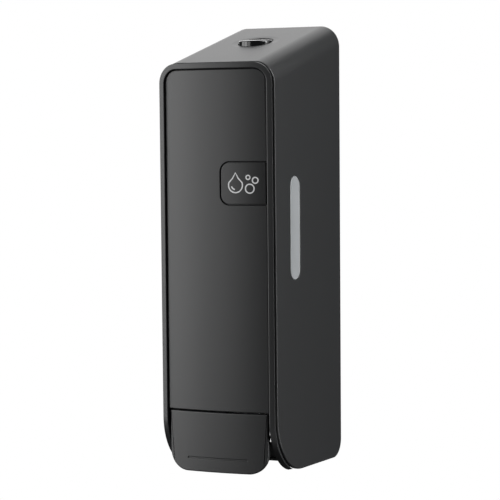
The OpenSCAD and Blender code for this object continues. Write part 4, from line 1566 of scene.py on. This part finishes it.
@dataclass
class WallUnit:
    """The rear plate, the shelf, the refill bottle and the fixed pump parts."""

    datum: Datum
    bottle_round: float = 5.0
    bottle_corner: float = 10.0
    bottle_t: float = 1.4
    neck_r: float = 15.0
    rib_count: int = 24

    def bottle_loft(self, name: str, inset: float) -> Mesh:
        """Makes the bottle's rounded block, pulled in by a distance all round.

        Args:
            name: The object's name.
            inset: The distance.

        Returns:
            The block.
        """
        low, high = box_mm("bottle")
        x, y0, y1 = high.x - inset, low.y + inset, high.y - inset
        z0, z1 = self.shoulder_z() + inset, high.z - inset
        r = self.bottle_round - inset * 0.5
        turns = [math.pi / 2 * i / 7 for i in range(8)]
        levels: list[Point] = [(z0 + r - r * math.cos(a), r - r * math.sin(a)) for a in turns]
        for middle in (z0 + 26, z1 - 24):
            levels += [(middle - 2.5, 0), (middle - 1.0, 0.9), (middle + 1.0, 0.9), (middle + 2.5, 0)]
        levels += [(z1 - r + r * math.sin(a), r - r * math.cos(a)) for a in turns]
        stations = []
        for z, pull in levels:
            corner = self.bottle_corner - inset - pull * 0.5
            ring = rounded(-x + pull, y0 + pull, x - pull, y1 - pull, (corner,) * 4, 8)
            stations.append([Vector((px, py, z)) for px, py in ring])
        return sweep(name, stations)

    def shoulder_z(self) -> float:
        """Height of the bottle's shoulder, on top of the shelf."""
        return box_mm("bottle_cap")[1].z + 7.0

    def build_bottle(self) -> Mesh:
        """Builds the blown bottle with its neck, neck ring and two moulded grooves.

        Returns:
            The bottle.
        """
        y = self.datum.pump_y
        low, _ = box_mm("bottle")
        z0, n = self.shoulder_z(), self.neck_r
        ring = box_mm("bottle_cap")[1].z + 0.4
        bottle = self.bottle_loft("bottle_visual", 0.0)
        profile = [(0, low.z), (n - 0.4, low.z), (n, low.z + 0.4), (n, ring), (n + 2.1, ring),
                   (n + 2.5, ring + 0.4), (n + 2.5, ring + 1.4), (n + 2.1, ring + 1.8), (n, ring + 1.8),
                   (n, z0 + 1.6), (0, z0 + 1.6)]
        combine(bottle, Join.ADD, lathe("neck", profile, Vector((0, y, 0)), Axis.Z, 64))
        combine(bottle, Join.CUT, self.bottle_loft("hollow", self.bottle_t))
        bore = [(0, low.z - 1), (n - 2.5, low.z - 1), (n - 2.5, z0 + 2.4), (0, z0 + 2.4)]
        combine(bottle, Join.CUT, lathe("bore", bore, Vector((0, y, 0)), Axis.Z, 64))
        shade(tidy(bottle, 0.05), 40.0)
        return settle(bottle, BOTTLE_FINISH, "bottle_hdpe", Body.WALL, "bottle")

    def build_cap(self) -> Mesh:
        """Builds the ribbed cap on the bottle's neck.

        Returns:
            The cap.
        """
        low, high = box_mm("bottle_cap")
        y, r, n = self.datum.pump_y, self.neck_r + 4, self.neck_r
        step = low.z + 2.5
        profile = [(10.2, low.z + 0.3), (10.5, low.z), (r - 0.7, low.z), (r, low.z + 0.7), (r, high.z - 0.5),
                   (r - 0.5, high.z), (n + 0.3, high.z), (n, high.z - 0.3), (n, step), (10.2, step)]
        cap = lathe("bottle_cap_visual", profile, Vector((0, y, 0)), Axis.Z, 96)
        shade(cap, 35.0)
        finish = _made.setdefault(CAP_FINISH.name, CAP_FINISH.make())
        rib_repeater().run(cap, {
            "Count": self.rib_count, "Radius": (r - 0.1) * MM, "Middle Depth": y * MM,
            "Middle Height": ((low.z + high.z) / 2 + BASE_Z) * MM,
            "Rib Depth": 1.4 * MM, "Rib Width": 1.2 * MM,
            "Rib Height": (high.z - low.z - 2) * MM, "Material": finish})
        return settle(cap, CAP_FINISH, "cap_pp", Body.WALL, "bottle_cap")

    def build(self, kit: ScrewKit) -> None:
        """Builds every fixed piece in order.

        Args:
            kit: Sets the screws.
        """
        for node, finish, slot, width in (
                ("wall_plate", PLATE_FINISH, "wall_plate_abs", 0.4),
                ("bottle_shelf", SHELF_FINISH, "shelf_abs", 0.4),
                ("pump_body", PUMP_FINISH, "pump_pp", 0.25),
                ("neck_gasket", GASKET_FINISH, "gasket_rubber", 0.2),
                ("valve_cage", PUMP_FINISH, "pump_pp", 0.12)):
            settle(refined(node, f"{node}_visual", width), finish, slot, Body.WALL, node)
        dress(frame["nodes"]["inlet_ball"], BALL_FINISH)
        low, high = box_mm("shelf_screws")
        places = [Vector((x, low.y + 2.2, (low.z + high.z) / 2)) for x in (low.x + 3.2, high.x - 3.2)]
        kit.place("shelf_screws_visual", Screw(1.75, 5.0, 3.2, 2.2), Vector((0, -1, 0)), places, Body.WALL,
                  "shelf_screws")
        self.build_bottle()
        self.build_cap()


@dataclass
class PumpSlider:
    """The lifting part of the pump."""

    datum: Datum
    stroke: float = 8.6

    def build(self, springs: Repeater) -> None:
        """Builds every lifting piece in order.

        Args:
            springs: The tree that winds springs.
        """
        for node, finish, slot, width in (
                ("nozzle", NOZZLE_FINISH, "nozzle_pp", 0.4), ("piston", PUMP_FINISH, "pump_pp", 0.2),
                ("piston_seal", SEAL_FINISH, "seal_rubber", 0.15),
                ("outlet_valve", SILICONE_FINISH, "valve_silicone", 0.1),
                ("nozzle_ring", NOZZLE_FINISH, "nozzle_pp", 0.2)):
            settle(refined(node, f"{node}_visual", width), finish, slot, Body.PUMP, node)
        spring = wind(springs, "pump_spring", 5, 7.6, 0.5, Body.PUMP)
        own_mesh(spring)


# ---- Studio ----


@dataclass(frozen=True)
class Softbox:
    """A soft studio light, placed by its direction from the object."""

    name: str
    azimuth: float
    elevation: float
    distance: float
    width: float
    height: float
    power: float

    def make(self, target: Vector) -> None:
        """Builds the light, facing a point.

        Args:
            target: The point that the lights face.
        """
        a, e = math.radians(self.azimuth), math.radians(self.elevation)
        back = Vector((math.sin(a) * math.cos(e), -math.cos(a) * math.cos(e), math.sin(e)))
        data = bpy.data.lights.new(self.name, "AREA")
        data.shape, data.size, data.size_y, data.energy = "RECTANGLE", self.width, self.height, self.power
        light = bpy.data.objects.new(self.name, data)
        bpy.context.scene.collection.objects.link(light)
        light.location = target + back * self.distance
        light.rotation_euler = back.to_track_quat("Z", "Y").to_euler()
        light.visible_camera = False


@dataclass(frozen=True)
class Studio:
    """Camera, lights, pale floor and white surroundings."""

    azimuth: float = 25.913
    elevation: float = 2.847
    roll: float = 0.394
    lens: float = 150.25
    eye: tuple[float, float, float] = (0.54706, -1.17689, 0.05887)
    ambient: float = 0.04
    floor_drop: float = 0.45
    boxes: tuple[Softbox, ...] = (
        Softbox("left_softbox", -46, 13, 1.3, 0.5, 1.5, 10.0),
        Softbox("far_left_softbox", -70, 13, 1.3, 0.5, 1.5, 7.5),
        Softbox("front_softbox", -22, 13, 1.3, 0.4, 1.5, 4.0),
        Softbox("right_strip", 122, 8, 0.6, 0.2, 1.2, 1.1),
        Softbox("edge_strip", 102, 6, 0.6, 0.1, 1.2, 3.4),
        Softbox("rear_top_softbox", -150, 32, 1.3, 1.3, 1.0, 6.8),
        Softbox("upper_right_softbox", 95, 45, 1.1, 0.6, 0.8, 9.0),
        Softbox("low_front_softbox", 20, -40, 1.2, 1.2, 0.6, 1.5),
    )

    def place_camera(self) -> None:
        """Builds the camera at its viewing angle."""
        a, e, r = (math.radians(v) for v in (self.azimuth, self.elevation, self.roll))
        back = Vector((math.sin(a) * math.cos(e), -math.cos(a) * math.cos(e), math.sin(e)))
        right = Vector((math.cos(a), math.sin(a), 0))
        up = back.cross(right)
        x_axis = right * math.cos(r) - up * math.sin(r)
        y_axis = right * math.sin(r) + up * math.cos(r)
        data = bpy.data.cameras.new("camera")
        data.lens, data.sensor_width, data.clip_start, data.clip_end = self.lens, 36.0, 0.05, 50.0
        camera = bpy.data.objects.new("camera", data)
        bpy.context.scene.collection.objects.link(camera)
        turn = Matrix((x_axis, y_axis, back)).transposed().to_4x4()
        camera.matrix_world = Matrix.Translation(Vector(self.eye)) @ turn
        bpy.context.scene.camera = camera

    def surround(self) -> None:
        """Builds the white surroundings, which light the object only softly, and the pale floor."""
        world = bpy.data.worlds.new("surroundings")
        bpy.context.scene.world = world
        world.use_nodes = True
        tree = world.node_tree
        tree.nodes.clear()
        seen = add_node(tree, "ShaderNodeLightPath").outputs["Is Camera Ray"]
        dim = add_node(tree, "ShaderNodeBackground", {"Color": (1, 1, 1, 1), "Strength": self.ambient})
        white = add_node(tree, "ShaderNodeBackground", {"Color": (1, 1, 1, 1), "Strength": 1.0})
        mix = add_node(tree, "ShaderNodeMixShader", None,
                       {0: seen, 1: dim.outputs[0], 2: white.outputs[0]})
        add_node(tree, "ShaderNodeOutputWorld", None, {"Surface": mix.outputs[0]})
        bm = bmesh.new()
        bmesh.ops.create_circle(bm, cap_ends=True, radius=6000, segments=64)
        floor = to_object("floor", bm, lambda p: p - Vector((0, 0, self.floor_drop / MM)))
        pale = bpy.data.materials.new("pale_floor")
        pale.use_nodes = True
        nodes = pale.node_tree
        nodes.nodes.clear()
        glow = add_node(nodes, "ShaderNodeEmission", {"Color": (1, 1, 1, 1), "Strength": 1.0})
        add_node(nodes, "ShaderNodeOutputMaterial", None, {"Surface": glow.outputs[0]})
        floor.data.materials.append(pale)
        floor.visible_diffuse = floor.visible_glossy = floor.visible_shadow = False

    def build(self, target: Vector) -> None:
        """Builds the whole studio round a point.

        Args:
            target: The point that the lights face.
        """
        self.place_camera()
        self.surround()
        for softbox in self.boxes:
            softbox.make(target)
        bpy.context.scene.view_settings.view_transform = "Standard"


def main() -> None:
    """Builds the studio and every piece."""
    logging.basicConfig(level=logging.INFO, format="%(name)s %(message)s")
    datum = read_datum()
    Studio().build(Vector((0, -0.05, 0)))
    kit = ScrewKit()
    springs = coil_repeater()
    cover = Cover(datum)
    cover.build(kit)
    Lever(cover).build(kit)
    Release(datum).build(springs, kit)
    WallUnit(datum).build(kit)
    PumpSlider(datum).build(springs)


if __name__ == "__main__":
    main()
